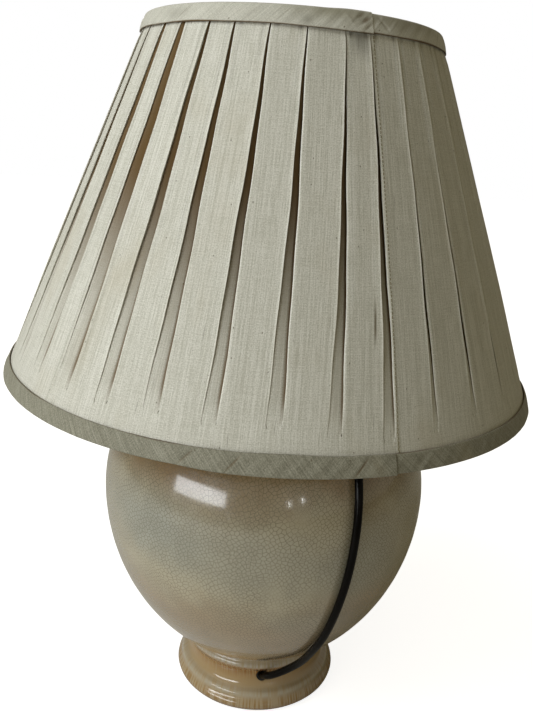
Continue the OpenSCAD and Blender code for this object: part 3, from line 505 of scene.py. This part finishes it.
# The foot's glaze ran thin and did not craze
crazed = add(tree, "MapRange", {"Value": height, "From Min": 0.042, "From Max": 0.055}, **EASED)
lines = add(tree, "Math", {0: lines, 1: crazed}, operation="MULTIPLY")
tone = add(tree, "Mix", {0: lines, 6: tone, 7: linear("#5F5842")}, **COLOURS)
peel = add(tree, "TexNoise", {"Vector": coords, "Scale": 120.0, "Detail": 2.0})
relief = add(tree, "Math", {0: lines, 1: -0.8, 2: peel}, operation="MULTIPLY_ADD")
uncrazed = add(tree, "MapRange", {"Value": crazed, "To Min": 0.9, "To Max": 0.0})
relief = add(tree, "Math", {0: streaks, 1: uncrazed, 2: relief}, operation="MULTIPLY_ADD")
look = {"Base Color": tone, "Roughness": 0.2, "IOR": 1.5, "Coat Weight": 1.0, "Coat Roughness": 0.1}
surfaced(tree, look, relief, 0.16, 0.0006)
dress(body, glaze, "base", ["vase_body"])

# %% [markdown]
# ## Pleated silk
# The cover is one long strip of silk in box pleats. At the top rim the panels meet; downwards the
# shade grows wider than the panels, so a recessed strip opens between them, and above the lower rim
# the pleats are pressed out flat. Across one pleat the cloth runs over a panel, rolls round its edge,
# goes back under it, and comes forward again as the floor of the recess. The pleats are not quite
# even: each has its own place, width and slant, and the ones in front follow the real ones.

# %% Shade frame
shade_bottom_r, shade_top_r, shade_h, shade_z = 200, 102.5, 250, 280
flare = (shade_bottom_r - shade_top_r) / shade_h
pivot_z, lean = 335.716, np.radians(1.5)
shade_top_z = shade_z + shade_h


def edge_r(z):
    """Radius of the shade's outer surface at a height."""
    return shade_bottom_r - (z - shade_z) * flare


def leaned(points):
    """Turns points about the pivots' line, along +Y at the pivots' height."""
    x, z = points[..., 0], points[..., 2] - pivot_z
    turned = np.array(points, float)
    turned[..., 0] = x * np.cos(lean) + z * np.sin(lean)
    turned[..., 2] = -x * np.sin(lean) + z * np.cos(lean) + pivot_z
    return turned


# %% Pleats
pleats, silk_off, recess_depth = 34, 1.6, 2.9
silk_low_z, silk_top_z = 282, 528
heights = np.r_[silk_low_z, 288, np.linspace(292, 322, 19), np.linspace(327, silk_top_z, 36)]
pitch, tuck, low_pitch = 360 / pleats, 4.5, 37
order = np.arange(pleats)
low_place = 1.5 + pitch * (order - 16) + rng.uniform(-0.5, 0.5, pleats)
top_place = low_place + 2.1 + rng.uniform(-0.8, 0.8, pleats)
opening = rng.uniform(7.0, 9.6, pleats)
opening_power = rng.uniform(0.75, 1.1, pleats)
fade_shift = rng.uniform(-4, 4, pleats)
tilt = rng.uniform(-0.35, 0.35, pleats)
lip = rng.uniform(0.5, 0.95, pleats)
front, seam = slice(13, 21), 18
# The pleats in front: places low down and at the top in degrees, openings in mm and their curves
low_place[front] = [-30.6, -20.1, -9.4, 1.4, 11.8, 21.8, 31.7, 42.6]
top_place[front] = [-28.5, -19.3, -7.6, 3.8, 16.3, 25.0, 35.8, 45.8]
opening[front] = [9.6, 10.0, 8.6, 9.2, 8.0, 7.4, 3.6, 4.4]
opening[10:13], opening_power[10:13] = [8.5, 10, 13], [0.8, 0.6, 0.5]
opening[21:25] = [4, 4.6, 5.5, 6.5]
opening_power[front] = [0.9, 1, 1, 1.05, 1.1, 1.1, 1, 1]
# From a panel's middle to its edge: share of the way, then mm from the edge
panel_share = [0, 0.4, 0.7]
near_edge = [3.2, 1.8, 0.9, 0.35, 0.08, 0]
# Lift of a panel's right edge, in lips, and roll of its left edge, in mm of depth
right_edge_d = [0, 0, 0, 0, -0.04, -0.16, -0.5, -0.7, -0.5]
left_edge_d = [0, 0, 0, 0, 0.02, 0.12, 0.4, 0.75, 1.0]
# Cloth behind a panel: share of the tuck, and depth as a share of the recess's depth
under_share = [0.03, 0.5, 1, 1.08, 1, 0.5, 0.1]
behind_right_edge = [0.1, 0.13, 0.16, 0.18, 0.2, 0.2, 0.2, 0.24, 0.36]
behind_left_edge = [0.45, 0.6, 0.8, 0.95, 1.05, 1.1, 1.05, 0.85, 0.58]
# Marks, 1 for pale wear with a painted highlight and -1 for brown dust with painted shade: over a panel,
# then behind its right and its left edge, low down and near the top
edge_wear_and_highlight = [0, 0, 0, 0, 0, 0.15, 0.6, 1, 0.8]
right_edge_dust_and_shade = np.array([
    [-0.2, -0.5, -0.6, -0.6, -0.6, -0.4, -0.2, -0.17, -0.2],
    [-0.2, -0.6, -1, -1, -1, -1, -1, -0.96, -0.98],
])
left_edge_dust_and_shade = np.array([
    [-0.3, -0.9, -1, -1, -1, -1, -1, -0.85, -0.24],
    [-0.3, -0.9, -1, -1, -1, -1, -1, -1, -1],
])


def recess(z):
    """Angle of each recess's middle in degrees, and half its width in mm, at height z."""
    rise = np.clip((z - 300) / (silk_top_z - 300), 0, 1)
    centre = low_place + (top_place - low_place) * rise**0.9
    return centre, 0.14 + opening / 2 * (1 - rise) ** opening_power


def pleat_cloth(z):
    """One row of the cover at height z: angles, radii, lengths along the cloth and marks of wear, dust and
    painted light.

    Each pleat is centred on its recess, and x is the distance in mm from the recess's middle. The
    cloth runs over half a panel, round its edge, back under it and on as half of the recess's floor,
    and the right half mirrors that. Where the folds are pressed flat, x grows evenly instead, and all
    depths shrink to nothing. A panel is flat, so its radius grows by half of x squared over radius.
    """
    radius = edge_r(z) - silk_off
    mm_per_degree = np.radians(radius)
    centre, half = recess(z)
    after = np.roll(centre, -1) + 360 * (order == pleats - 1)
    before = np.roll(centre, 1) - 360 * (order == 0)
    folded = smooth(z + fade_shift, 299, 306)
    sunk = smooth(z + fade_shift, 296, 318)
    free = folded * (1 - smooth(z, 508, 526)) * (0.3 + 0.7 * smooth(z, 304, 370))
    deep = 0.5 + (recess_depth - 0.5) * smooth(z, 300, 400) - 1.5 * smooth(z, 440, silk_top_z)
    sway = 0.25 * np.sin(z / 17 + order * 2.1) + 0.15 * np.sin(z / 7.5 + order * 1.3)
    parts = []
    for side, neighbour, panel in ((-1, before, order), (1, after, (order + 1) % pleats)):
        middle = (neighbour - centre) / 2 * mm_per_degree
        edge = side * half + sway
        x = [middle + share * (edge - middle) for share in panel_share]
        x += [edge + side * np.minimum(away, 0.3 * np.abs(middle - edge)) for away in near_edge]
        flat = x + [edge * (1 - k / 10) for k in range(1, 10)]
        x += [edge + side * share * tuck for share in under_share] + [edge * 0.8, edge * 0.45]
        if side < 0:
            depth = [d * lip[panel] * free for d in right_edge_d] + [d * deep for d in behind_right_edge]
        else:
            depth = [0.8 * d for d in left_edge_d] + [d * deep for d in behind_left_edge]
        x, flat, middle = np.array(x), np.array(flat), middle[None, :]
        depth = np.array([d + 0 * half for d in depth]) * sunk
        x = flat + (x - flat) * folded
        along = x - middle
        bow = along**2 / (2 * radius) * free
        leaning = tilt[panel] * along / np.abs(middle) * free
        outwards = np.where(np.arange(len(x))[:, None] < 9, bow + leaning, 0) - depth
        # Brown behind the edges grows towards the top: dust, and painted shade that deepens in the recesses
        low_dust_and_shade, high_dust_and_shade = right_edge_dust_and_shade if side < 0 else left_edge_dust_and_shade
        dust_and_shade = low_dust_and_shade + (high_dust_and_shade - low_dust_and_shade) * smooth(z, 325, 440)
        wear_and_light_mark = np.r_[edge_wear_and_highlight, dust_and_shade][:, None] * sunk
        u = along + low_pitch * (order + (side > 0))
        half_row = np.stack([centre + x / mm_per_degree, radius + outwards, u + 0 * x, wear_and_light_mark])
        parts.append(half_row if side < 0 else half_row[:, ::-1][:, :-1])
    return np.concatenate(parts, axis=1)


rows = np.stack([pleat_cloth(z) for z in heights], axis=1)
# Kind of value, row, column in the pleat, pleat: the columns are put in order round the shade
angle, radius, cloth_u, cover_wear_and_light = rows.transpose(0, 1, 3, 2).reshape(4, len(heights), -1)
silk_points = leaned(around(radius, angle, heights[:, None]))
slope_height = (heights - shade_z) * np.sqrt(1 + flare**2)
closing_u = cloth_u[:, :1] + low_pitch * pleats
cloth_uv = np.concatenate([cloth_u, closing_u], axis=1)
cloth_uv = np.stack([cloth_uv, slope_height[:, None] + 0 * cloth_uv], -1) * MM
silk = grid_mesh("pleated_silk_cover", silk_points, (False, True), cloth_uv, {"fold": cover_wear_and_light})
print("silk cover:", pleats, "pleats,", len(silk.data.polygons), "faces")

# %% [markdown]
# The cover is dupion, a raw silk: even fine threads run round the shade, and slubbed, uneven ones up
# and down it, with specks of gum and husk left in. Real threads are 0.25 mm apart, finer than a pixel
# here, so the weave is drawn two to four times coarser. Fold edges are painted pale, for wear and as a
# painted highlight on the ridges, and the recesses brown, for dust and as painted shade deeper up.


# %% Raw silk
def silk_cloth(name, pale, dull, turn, contrast, marks=()):
    """Woven silk: slub threads along V, even ones along U, both turned by an angle for a bias cut.

    A mark has a place on the cloth in mm, one over its two sizes in metres, a strength and a colour.
    """
    material, tree = new_material(name)
    surface = add(tree, "TexCoord", out="UV")
    cloth = add(tree, "Mapping", {"Vector": surface, "Rotation": (0, 0, np.radians(turn))})
    threads = 0.5
    # Threads per metre across and along, detail, share of the pattern
    for scale, detail, share in (
        ((1000, 9, 1), 3.0, 0.34),
        ((1700, 70, 1), 2.0, 0.3),
        ((60, 1500, 1), 2.0, 0.16),
        ((1300, 1300, 1), 1.0, 0.42),
    ):
        thread = stretched_noise(tree, cloth, scale, detail)
        offset = add(tree, "Math", {0: thread, 1: 0.5}, operation="SUBTRACT")
        threads = add(tree, "Math", {0: offset, 1: share, 2: threads}, operation="MULTIPLY_ADD")
    weave = add(tree, "MapRange", {"Value": threads, "From Min": 0.5 - contrast, "From Max": 0.5 + contrast})
    tone = add(tree, "Mix", {0: weave, 6: linear(dull), 7: linear(pale)}, **COLOURS)
    stain = stretched_noise(tree, cloth, (26, 14, 1), 4.0)
    tone = tinted(tree, tone, stain, 0.5, 0.8, 0.35, "#B3A98F")
    # Specks, then thick slubs: repeats per metre, smallest and largest size, chance, strength
    for scale, small, large, chance, strength in (
        ((48, 30, 1), 0.01, 0.022, 0.55, 0.75),
        ((95, 60, 1), 0.015, 0.03, 0.72, 0.5),
        ((150, 9, 1), 0.02, 0.06, 0.8, 0.4),
    ):
        mark_at = add(tree, "Mapping", {"Vector": cloth, "Scale": scale})
        cell = {"Vector": mark_at, "Scale": 1.0}
        away = add(tree, "TexVoronoi", cell, voronoi_dimensions="2D")
        pick = add(tree, "TexVoronoi", cell, out="Color", voronoi_dimensions="2D")
        lot = add(tree, "SeparateColor", {0: pick})
        drawn = add(tree, "Math", {0: lot, 1: chance}, operation="GREATER_THAN")
        tone = tinted(tree, tone, away, large, small, strength, "#5F5642", drawn)
    # Marks: stains on the cover, and patches of painted shade on the upper binding
    for (u, v), size, strength, tint in marks:
        tone = blot(tree, tone, surface, (u * MM, v * MM, 0), (*size, 1), stain, 1.5, 0.3, strength, tint)
    # Pale where the mark is high: worn fold edges, partly a painted highlight. Brown where it is low: dust
    # and painted shade
    wear_and_light_mark = add(tree, "Attribute", out="Fac", attribute_name="fold")
    dust_and_shade = add(tree, "MapRange", {"Value": wear_and_light_mark, "From Min": -0.1, "From Max": -1.0, "To Max": 0.96})
    worn = add(tree, "MapRange", {"Value": wear_and_light_mark, "From Min": 0.3, "From Max": 1.0, "To Max": 0.65})
    tone = add(tree, "Mix", {0: dust_and_shade, 6: tone, 7: linear("#5A3F08")}, **COLOURS)
    tone = add(tree, "Mix", {0: worn, 6: tone, 7: linear("#F2F1E6")}, **COLOURS)
    look = {"Base Color": tone, "Roughness": 0.6, "IOR": 1.45, "Specular IOR Level": 0.35}
    look |= {"Sheen Weight": 0.15, "Sheen Roughness": 0.4}
    surfaced(tree, look, threads, 0.4, 0.0005)
    return material


# A stain under the top binding, and one long slub
stain_u = low_pitch * seam + 1
cover_marks = [((stain_u, 252), (90, 60), 0.75, "#77756C"), ((stain_u + 6, 84), (900, 60), 0.9, "#6A604A")]
dupion = silk_cloth("raw_silk_dupion", "#DEDDD3", "#B9B8AA", 0, 0.1, cover_marks)
dress(silk, dupion, "shade", ["pleated_silk"])

# %% [markdown]
# The cover's ends meet in a seam at the front right, closed by a running stitch that goes in and out
# of the cloth every 2.3 mm. The thread is one wavy tube, whose lower halves hide in the silk.

# %% Seam stitches
stitch_z, stitch_pitch, thread_r = np.arange(silk_low_z + 2, silk_top_z - 2, 0.3), 2.3, 0.24
seam_middle, seam_half = np.array([[part[seam] for part in recess(z)] for z in stitch_z]).T
seam_angle = seam_middle + (seam_half + 1.5) / np.radians(edge_r(stitch_z))
seam_r = edge_r(stitch_z) - silk_off + 0.2 + 0.35 * np.sin(2 * np.pi * stitch_z / stitch_pitch)
stitch_path = leaned(around(seam_r, seam_angle, stitch_z))
stitch_rings = tube_rings(stitch_path, thread_r, 6, [1, 0, 0])
stitches = grid_mesh("seam_stitches", stitch_rings, (False, True))
thread, tree = new_material("matt_sewing_thread")
fuzz = add(tree, "TexNoise", {"Vector": add(tree, "TexCoord", out="Object"), "Scale": 900.0})
tone = add(tree, "Mix", {0: fuzz, 6: linear("#8E8666"), 7: linear("#5F583F")}, **COLOURS)
add(tree, "OutputMaterial", {"Surface": add(tree, "BsdfPrincipled", {"Base Color": tone, "Roughness": 0.8})})
dress(stitches, thread, "shade")
print("stitches:", len(stitches.data.polygons), "faces")

# %% [markdown]
# ## Bias bindings
# Each rim is bound with a strip of the same silk, cut at 45 degrees so that it stretches round the
# curve, folded over the rim and stitched. The strip is a closed section carried round the rim. Bias
# cloth puckers along its threads, so slanted waves run over it, and its two ends overlap in a step.
# The lower binding is painted darker, as painted shade on its rolled face that turns downwards,
# and the upper one's end is frayed and crumpled.


# %% Bindings
def binding(name, z_rim, z_far, z_inner, overlap_at, overlap_width, folds, hem_shadow_mark, crumpled):
    """Strip folded over a rim: outer leg, rounded fold and inner leg, as one closed section.

    The section's angle runs once round. Waves slanted by the arc length push the outer leg outwards,
    and between two angles the strip is one layer thicker and a little longer. A fold is a ridge or a
    groove: angle, direction of its slant, width and height in mm, and its mark, 1 for pale and -1 for
    dark: a join's dark line, or a painted highlight on a ridge and painted shade in a groove. The hem
    gets a line of painted shadow, and the overlap's end is crumpled by a share, with painted light on its
    creases.
    """
    up = 1 if z_far > z_rim else -1
    leg, inner_leg = abs(z_far - z_rim), abs(z_inner - z_rim)
    thick, gap, fold_h = 1.0, 6.6, 1.2
    start, end = overlap_at - overlap_width, overlap_at
    step = np.array([end, start])[:, None] + [-0.08, 0.08]
    angle = np.sort(np.r_[np.linspace(-180, 180, 1600, endpoint=False), step.ravel()])
    turn = np.radians(np.linspace(10, 170, 9))
    rounded = fold_h * (1 - np.sin(turn))
    h = np.r_[np.linspace(leg, fold_h, 12), rounded, np.linspace(fold_h, inner_leg, 4)]
    h = np.r_[h, np.linspace(inner_leg, 1.6, 4), np.linspace(1.6, leg, 9)][:, None]
    inset = np.r_[[0] * 12, (1 - np.cos(turn)) * gap / 2, [gap] * 4, [gap - thick] * 4, [thick] * 9][:, None]
    outer = np.r_[[1] * 12, np.linspace(1, 0, 9), [0] * 17][:, None]
    a = np.radians(angle)[None, :]
    run = a * edge_r(z_rim)
    share = np.clip(h / leg, 0, 1)
    swell = np.sin(np.pi * share)
    calm = 0.5 + 0.5 * np.sin(5 * a + 0.7) * np.sin(2 * a + 2)
    slant = run - up * h * 1.15
    pucker = 0.22 * np.sin(slant / 1.9 + 1.3 * np.sin(3 * a)) * calm
    pucker = pucker + 0.3 * np.sin(slant / 5.3 + 2.0 * np.sin(4 * a + 1)) * (1.2 - calm)
    # The inner leg and its return, inside the shade, are painted dark as shade
    mark = np.where(outer > 0, 0, -1) + 0 * pucker
    for at, way, width, high, worn in folds:
        off = np.radians((at - angle + 180) % 360 - 180)[None, :] * edge_r(z_rim) + way * h
        ridge = np.exp(-((off / width) ** 2))
        pucker = pucker + high * ridge
        mark = mark + worn * ridge * swell * outer
    near_end = crumpled * np.exp(-(((angle - end + 3.5) / 3.5) ** 2)) * (angle < end)
    crease = np.sin(slant / 0.9 + 3 * np.sin(h / 3.3 + run / 5.1)) * np.sin(slant / 3.1 + h / 2.2)
    pucker = pucker + 0.5 * crease * near_end
    # Crumpled creases get painted highlight and shade by their sign, and the hem's edge its painted shadow
    # line
    mark = mark + 0.9 * crease * near_end * swell * outer + hem_shadow_mark * (share > 0.999) * outer
    twice = (smooth(angle, start - 5, start + 5) * (1 - smooth(angle, end - 0.06, end + 0.06)))[None, :]
    hem_wave = 0.35 * np.sin(run / 21 + 1) + 0.2 * np.sin(run / 8.3)
    z = z_rim + up * (h - 0.7 * twice * (1 - share) + (hem_wave + 0.8 * twice) * share * outer)
    r = edge_r(z) - inset + outer * (0.35 * swell**0.7 + pucker * swell + 0.55 * twice)
    length = arc_length(np.hstack([h, inset]))
    v = np.append(length, length[-1] + 1)[:, None]
    u = np.append(run[0], run[0, 0] + 2 * np.pi * edge_r(z_rim))[None, :]
    uv = np.stack(np.broadcast_arrays(u, v), -1) * MM
    strip = leaned(around(r, angle[None, :], z))
    return grid_mesh(name, strip, (True, True), uv, {"fold": np.clip(mark, -1, 1)})


# Patches painted darker on the upper binding, at its middle, its right and its far left, as painted shade
rim_painted_shade = [((22, 10), (26, 110), 0.75, "#8B8771"), ((78, 10), (20, 110), 0.6, "#8B8771")]
rim_painted_shade += [((-78, 5), (60, 140), 0.45, "#98968A"), ((6, 4), (160, 200), 0.5, "#7D7B6C")]
bias_silk = silk_cloth("bias_cut_silk", "#D8D7CB", "#B0AFA2", 45, 0.16, rim_painted_shade)
# The lower binding's colours are darker: painted shade for its face that turns downwards
painted_shade_bias_silk = silk_cloth("bias_cut_silk_painted_shade", "#A19F8F", "#737161", 45, 0.12)
# Joins between strips, then creases: angle, slant, width, height, mark. A join's mark is its dark
# line; a crease's is a painted highlight on a ridge and painted shade in a groove
low_folds = [(14.6, 1, 0.8, -0.5, -0.8), (-6.2, 1, 0.8, -0.45, -0.7), (-14, 1, 0.8, -0.4, -0.6)]
low_folds += [(20.6, -1, 0.7, -0.3, -0.4), (27, 1, 2.2, 0.4, 0.2), (-33, -1, 1.8, 0.4, 0.1)]
low_folds += [(33, -1, 2.5, 0.35, 0.1), (41, 1, 2, -0.3, -0.1), (120, 1, 0.8, -0.5, -0.7)]
high_folds = [(-37, -1, 0.6, -0.3, -0.5), (-0.5, -1, 0.6, -0.3, -0.4), (-50, 1, 1.6, 0.4, 0.1)]
high_folds += [(31, -1, 0.9, 0.4, 0.3), (37, -1, 1.2, 0.35, 0.2), (-12, -1, 1.4, 0.3, 0.1)]
# Round the frayed end, then at the left corner, whose bulge and groove get painted shade and ridge a painted
# highlight
high_folds += [(14.2, 1, 0.9, 0.3, 0.3), (18.4, -1, 0.6, 0.25, 0.4), (26.6, 1, 1.0, -0.5, -0.4)]
high_folds += [(-83, -1, 6, 1.3, -0.15), (-79, 1, 1.2, -0.6, -0.6), (-75, -1, 1.5, 0.5, 0.3)]
low_z = (shade_z - 1.3, shade_z + 9.8, shade_z + 4.6)
high_z = (shade_top_z - 0.4, shade_top_z - 12, shade_top_z - 9)
low_binding = binding("lower_bias_binding", *low_z, 22.5, 33, low_folds, 0, 0)
high_binding = binding("upper_bias_binding", *high_z, 25.5, 12, high_folds, -1, 1)
dress(low_binding, painted_shade_bias_silk, "shade", ["bottom_binding"])
dress(high_binding, bias_silk, "shade", ["top_binding"])
print("bindings:", len(low_binding.data.polygons) + len(high_binding.data.polygons), "faces")

# %% [markdown]
# ## Lining
# A cream lining is drawn tight inside the wires. It puckers a little towards the smaller top ring,
# where the same cloth has less room, and each wire shows through as a soft ridge.

# %% Lining
strut_count, lining_in = 10, 8.4
lining_z = np.linspace(shade_z + 10.5, shade_top_z - 10.5, 40)[:, None]
lining_a = np.linspace(0, 360, 480, endpoint=False)[None, :]
tight = smooth(lining_z, shade_z, shade_top_z)
gather = 0.22 * (0.25 + tight) * np.sin(np.radians(lining_a) * 96 + 0.8 * np.sin(np.radians(lining_a) * 7))
between = 0.9 * np.sin(np.pi * (lining_z - shade_z) / shade_h)
between = between * (1 + np.cos(np.radians((lining_a - 9) * strut_count)))
lining_points = leaned(around(edge_r(lining_z) - lining_in + gather - 0.35 * between, lining_a, lining_z))
lining = grid_mesh("shade_lining_cloth", lining_points, (False, True))
lining_sheet = lining.modifiers.new("cloth", "SOLIDIFY")
lining_sheet.thickness, lining_sheet.offset = 0.3 * MM, 0
lining_cloth, tree = new_material("cream_lining_cloth")
coords = add(tree, "TexCoord", out="Object")
weave = stretched_noise(tree, coords, (700, 700, 90))
age = add(tree, "TexNoise", {"Vector": coords, "Scale": 14.0, "Detail": 4.0})
tone = tinted(tree, linear("#E6DFCB"), age, 0.35, 0.75, 1.0, "#D3C6A6")
thread = add(tree, "MapRange", {"Value": weave, "From Min": 0.3, "From Max": 0.7, "To Max": 0.3})
tone = add(tree, "Mix", {0: thread, 6: tone, 7: linear("#BDB293")}, **COLOURS)
look = {"Base Color": tone, "Roughness": 0.7, "Sheen Weight": 0.2}
surfaced(tree, look, weave, 0.25, 0.0003)
dress(lining, lining_cloth, "shade", ["shade_lining"])

# %% [markdown]
# ## Metal and fittings
# The rod, nuts, cap and lampholder are turned or spun metal whose shape is already exact, so they
# keep their solids. Old lacquered brass is warm, satin from its lathe, and darker where tarnished.
# Plastics, rubber and fibre are moulded or pressed, with a nearly even colour and a fine grain.


# %% Fittings
def metal(name, colour, tarnish, roughness, grain_scale, amount):
    """Metal with fine turned grain and slow patches of tarnish."""
    material, tree = new_material(name)
    coords = add(tree, "TexCoord", out="Object")
    patches = add(tree, "TexNoise", {"Vector": coords, "Scale": 70.0, "Detail": 5.0})
    grain = stretched_noise(tree, coords, (60, 60, grain_scale), 3.0)
    tone = tinted(tree, linear(colour), patches, 0.45, 0.75, amount, tarnish)
    rough = add(tree, "MapRange", {"Value": patches, "To Min": roughness - 0.07, "To Max": roughness + 0.15})
    look = {"Base Color": tone, "Metallic": 1.0, "Roughness": rough}
    surfaced(tree, look, grain, 0.15, 0.0002)
    return material


def moulded(name, colour, worn, roughness, coat=0.0):
    """Moulded or pressed material: nearly even colour, a faint mottle and a fine grain."""
    material, tree = new_material(name)
    coords = add(tree, "TexCoord", out="Object")
    mottle = add(tree, "TexNoise", {"Vector": coords, "Scale": 180.0, "Detail": 4.0})
    tone = tinted(tree, linear(colour), mottle, 0.4, 0.8, 1.0, worn)
    rough = add(tree, "MapRange", {"Value": mottle, "To Min": roughness - 0.06, "To Max": roughness + 0.1})
    grain = add(tree, "TexNoise", {"Vector": coords, "Scale": 2200.0})
    look = {"Base Color": tone, "Roughness": rough, "Coat Weight": coat, "Coat Roughness": 0.15}
    surfaced(tree, look, grain, 0.12, 0.0001)
    return material


# %% [markdown]
# The bulb is clear blown glass. Blown glass is not quite even, so a slow, faint wave bends what is
# seen through it.

# %% Bulb glass
clear_glass, tree = new_material("clear_blown_glass")
coords = add(tree, "TexCoord", out="Object")
glass_wave = add(tree, "TexNoise", {"Vector": coords, "Scale": 45.0})
look = {"Base Color": linear("#F7F8F4"), "Roughness": 0.02, "IOR": 1.5, "Transmission Weight": 1.0}
surfaced(tree, look, glass_wave, 0.05, 0.0005)

# %% Finishes of the solids
brass_parts = ["neck_cap", "holder_lower_shell", "holder_barrel", "shade_ring_nut", "gimbal_ring"]
turned_parts = ["bottom_nut", "neck_nut", "terminal_screws", "contact_plungers"]
steel_parts = ["bottom_washer", "lock_washer", "threaded_rod"]
wire_parts = ["gimbal_arms", "top_wire_ring", "bottom_wire_ring", "frame_struts"]
finishes = {
    metal("lacquered_brass", "#C79A4B", "#7A5326", 0.3, 900, 0.7): brass_parts,
    metal("plain_brass", "#CFA85C", "#8A6A3A", 0.28, 500, 0.5): turned_parts,
    metal("zinc_plated_steel", "#B4B7B9", "#86867F", 0.38, 700, 0.6): steel_parts,
    metal("bright_spring_steel", "#BFC2C4", "#97999A", 0.25, 900, 0.4): ["plunger_springs"],
    metal("lamp_cap_aluminium", "#C4C6C8", "#9EA0A2", 0.4, 800, 0.4): ["bulb_cap", "bulb_contacts"],
    metal("tungsten_wire", "#77797B", "#55575A", 0.45, 900, 0.3): ["bulb_filament"],
    metal("nickel_plated_brass", "#CDCBC4", "#A8A293", 0.2, 900, 0.35): ["plug_pins"],
    moulded("brown_bakelite", "#3A2317", "#4C3222", 0.28, 0.4): ["switch_bar", "switch_knobs"],
    moulded("black_rubber", "#0B0A08", "#15130F", 0.7): ["cord_bush"],
    moulded("moulded_black_pvc", "#1B1916", "#2B2823", 0.42): ["coil_ties", "plug_relief", "plug_body"],
    moulded("white_nylon", "#D8D3C3", "#C8C1AD", 0.45): ["cord_grip"],
    moulded("brown_core_pvc", "#5A3A22", "#6B4A30", 0.45): ["flex_cores"],
    moulded("black_insulating_glass", "#0E0E10", "#18181A", 0.12, 0.6): ["bulb_insulator"],
    moulded("unglazed_porcelain", "#E0DAC9", "#CFC7B0", 0.55): ["holder_insert"],
    moulded("pressed_fibre", "#A47B4C", "#8C6538", 0.75): ["neck_gasket"],
    moulded("cream_coated_wire", "#CFC9B8", "#B8AF98", 0.4, 0.2): wire_parts,
    moulded("wool_felt", "#3C4736", "#4A5642", 0.9): ["base_felt"],
    clear_glass: ["bulb_glass", "bulb_stem"],
    flex_pvc: ["inner_flex"],
}
for finish, nodes in finishes.items():
    for name in nodes:
        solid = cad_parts[name].data
        solid.materials.clear()
        solid.materials.append(finish)
print("finished nodes:", sum(len(nodes) for nodes in finishes.values()))

# %% [markdown]
# ## Floor and light
# The lamp stands on a white floor. A bright wall, high on the left, lights it: the left panels are
# bright, and the right ones get only what the warm room gives back. The wall leaves no reflection. A
# wide, low window shows as a slanted patch on the glaze, and two small lamps as the points beside it.

# %% Floor
floor_mesh = bpy.data.meshes.new("floor")
half_side = 6.0
corners = [(x * half_side, y * half_side, 0) for x, y in ((-1, -1), (1, -1), (1, 1), (-1, 1))]
floor_mesh.from_pydata(corners, [], [(0, 1, 2, 3)])
floor = bpy.data.objects.new("floor", floor_mesh)
floor.location.z = -0.3 * MM
bpy.context.collection.objects.link(floor)
floor_paint, tree = new_material("white_floor")
# The camera sees the floor lifted to white, less so near the lamp, where its shadow stays visible
from_lamp = add(tree, "VectorMath", {0: add(tree, "TexCoord", out="Object")}, out="Value", operation="LENGTH")
white_out = {"Value": from_lamp, "From Min": 0.1, "From Max": 0.7, "To Min": 0.87, "To Max": 1.0}
white_out = add(tree, "MapRange", white_out)
lift = add(tree, "Math", {0: clear_share(tree), 1: white_out}, operation="MULTIPLY")
matt = add(tree, "BsdfPrincipled", {"Base Color": linear("#D9D8D4"), "Roughness": 0.9})
glow = add(tree, "Emission", {"Color": (1, 1, 1, 1), "Strength": lift})
add(tree, "OutputMaterial", {"Surface": add(tree, "AddShader", {0: matt, 1: glow})})
floor.data.materials.append(floor_paint)

# %% World
world = bpy.data.worlds.new("studio")
bpy.context.scene.world = world
world.use_nodes = True
tree = world.node_tree
tree.nodes.clear()
# Polished surfaces mirror a part of that white, since the real room was darker than its background
mirror_ray = add(tree, "LightPath", out="Is Glossy Ray")
mirror_share = 0.2
mirrored = add(tree, "Math", {0: mirror_ray, 1: mirror_share}, operation="MULTIPLY")
clear_view = add(tree, "Math", {0: clear_share(tree), 1: mirrored}, operation="MAXIMUM")
room = add(tree, "Background", {"Color": linear("#F3DF9F"), "Strength": 0.155})
white = add(tree, "Background", {"Color": (1, 1, 1, 1), "Strength": 1.0})
add(tree, "OutputWorld", {"Surface": add(tree, "MixShader", {0: clear_view, 1: room, 2: white})})


# %% Lamps
def area_light(name, turn_deg, height_deg, distance, size, power, colour):
    """Rectangular area light seen from the belly at an angle right of the front and a height angle."""
    aim = np.array([0, -0.11, 0.222])
    back = around(cos_d(height_deg), turn_deg, sin_d(height_deg))
    side = unit(np.cross([0, 0, 1], back))
    lamp = bpy.data.lights.new(name, "AREA")
    lamp.shape, lamp.size, lamp.size_y = "RECTANGLE", size[0], size[1]
    lamp.energy, lamp.color = power, linear(colour)[:3]
    holder = bpy.data.objects.new(name, lamp)
    bpy.context.collection.objects.link(holder)
    place(holder, side, back, aim + distance * back)
    return holder


area_light("low_window", -45, 11, 1.6, (1.1, 0.26), 7, "#F9FCFF")
bright_wall = area_light("bright_wall", -67, 45, 1.8, (1.2, 1.2), 20.9, "#F9FCFF")
bright_wall.visible_glossy = False
area_light("spot_a", 18.7, 12.0, 2.6, (0.06, 0.06), 0.45, "#FFFFFF")
area_light("spot_b", 28.1, 12.9, 2.6, (0.06, 0.06), 0.45, "#FFFFFF")
bpy.context.scene.view_settings.view_transform = "Standard"
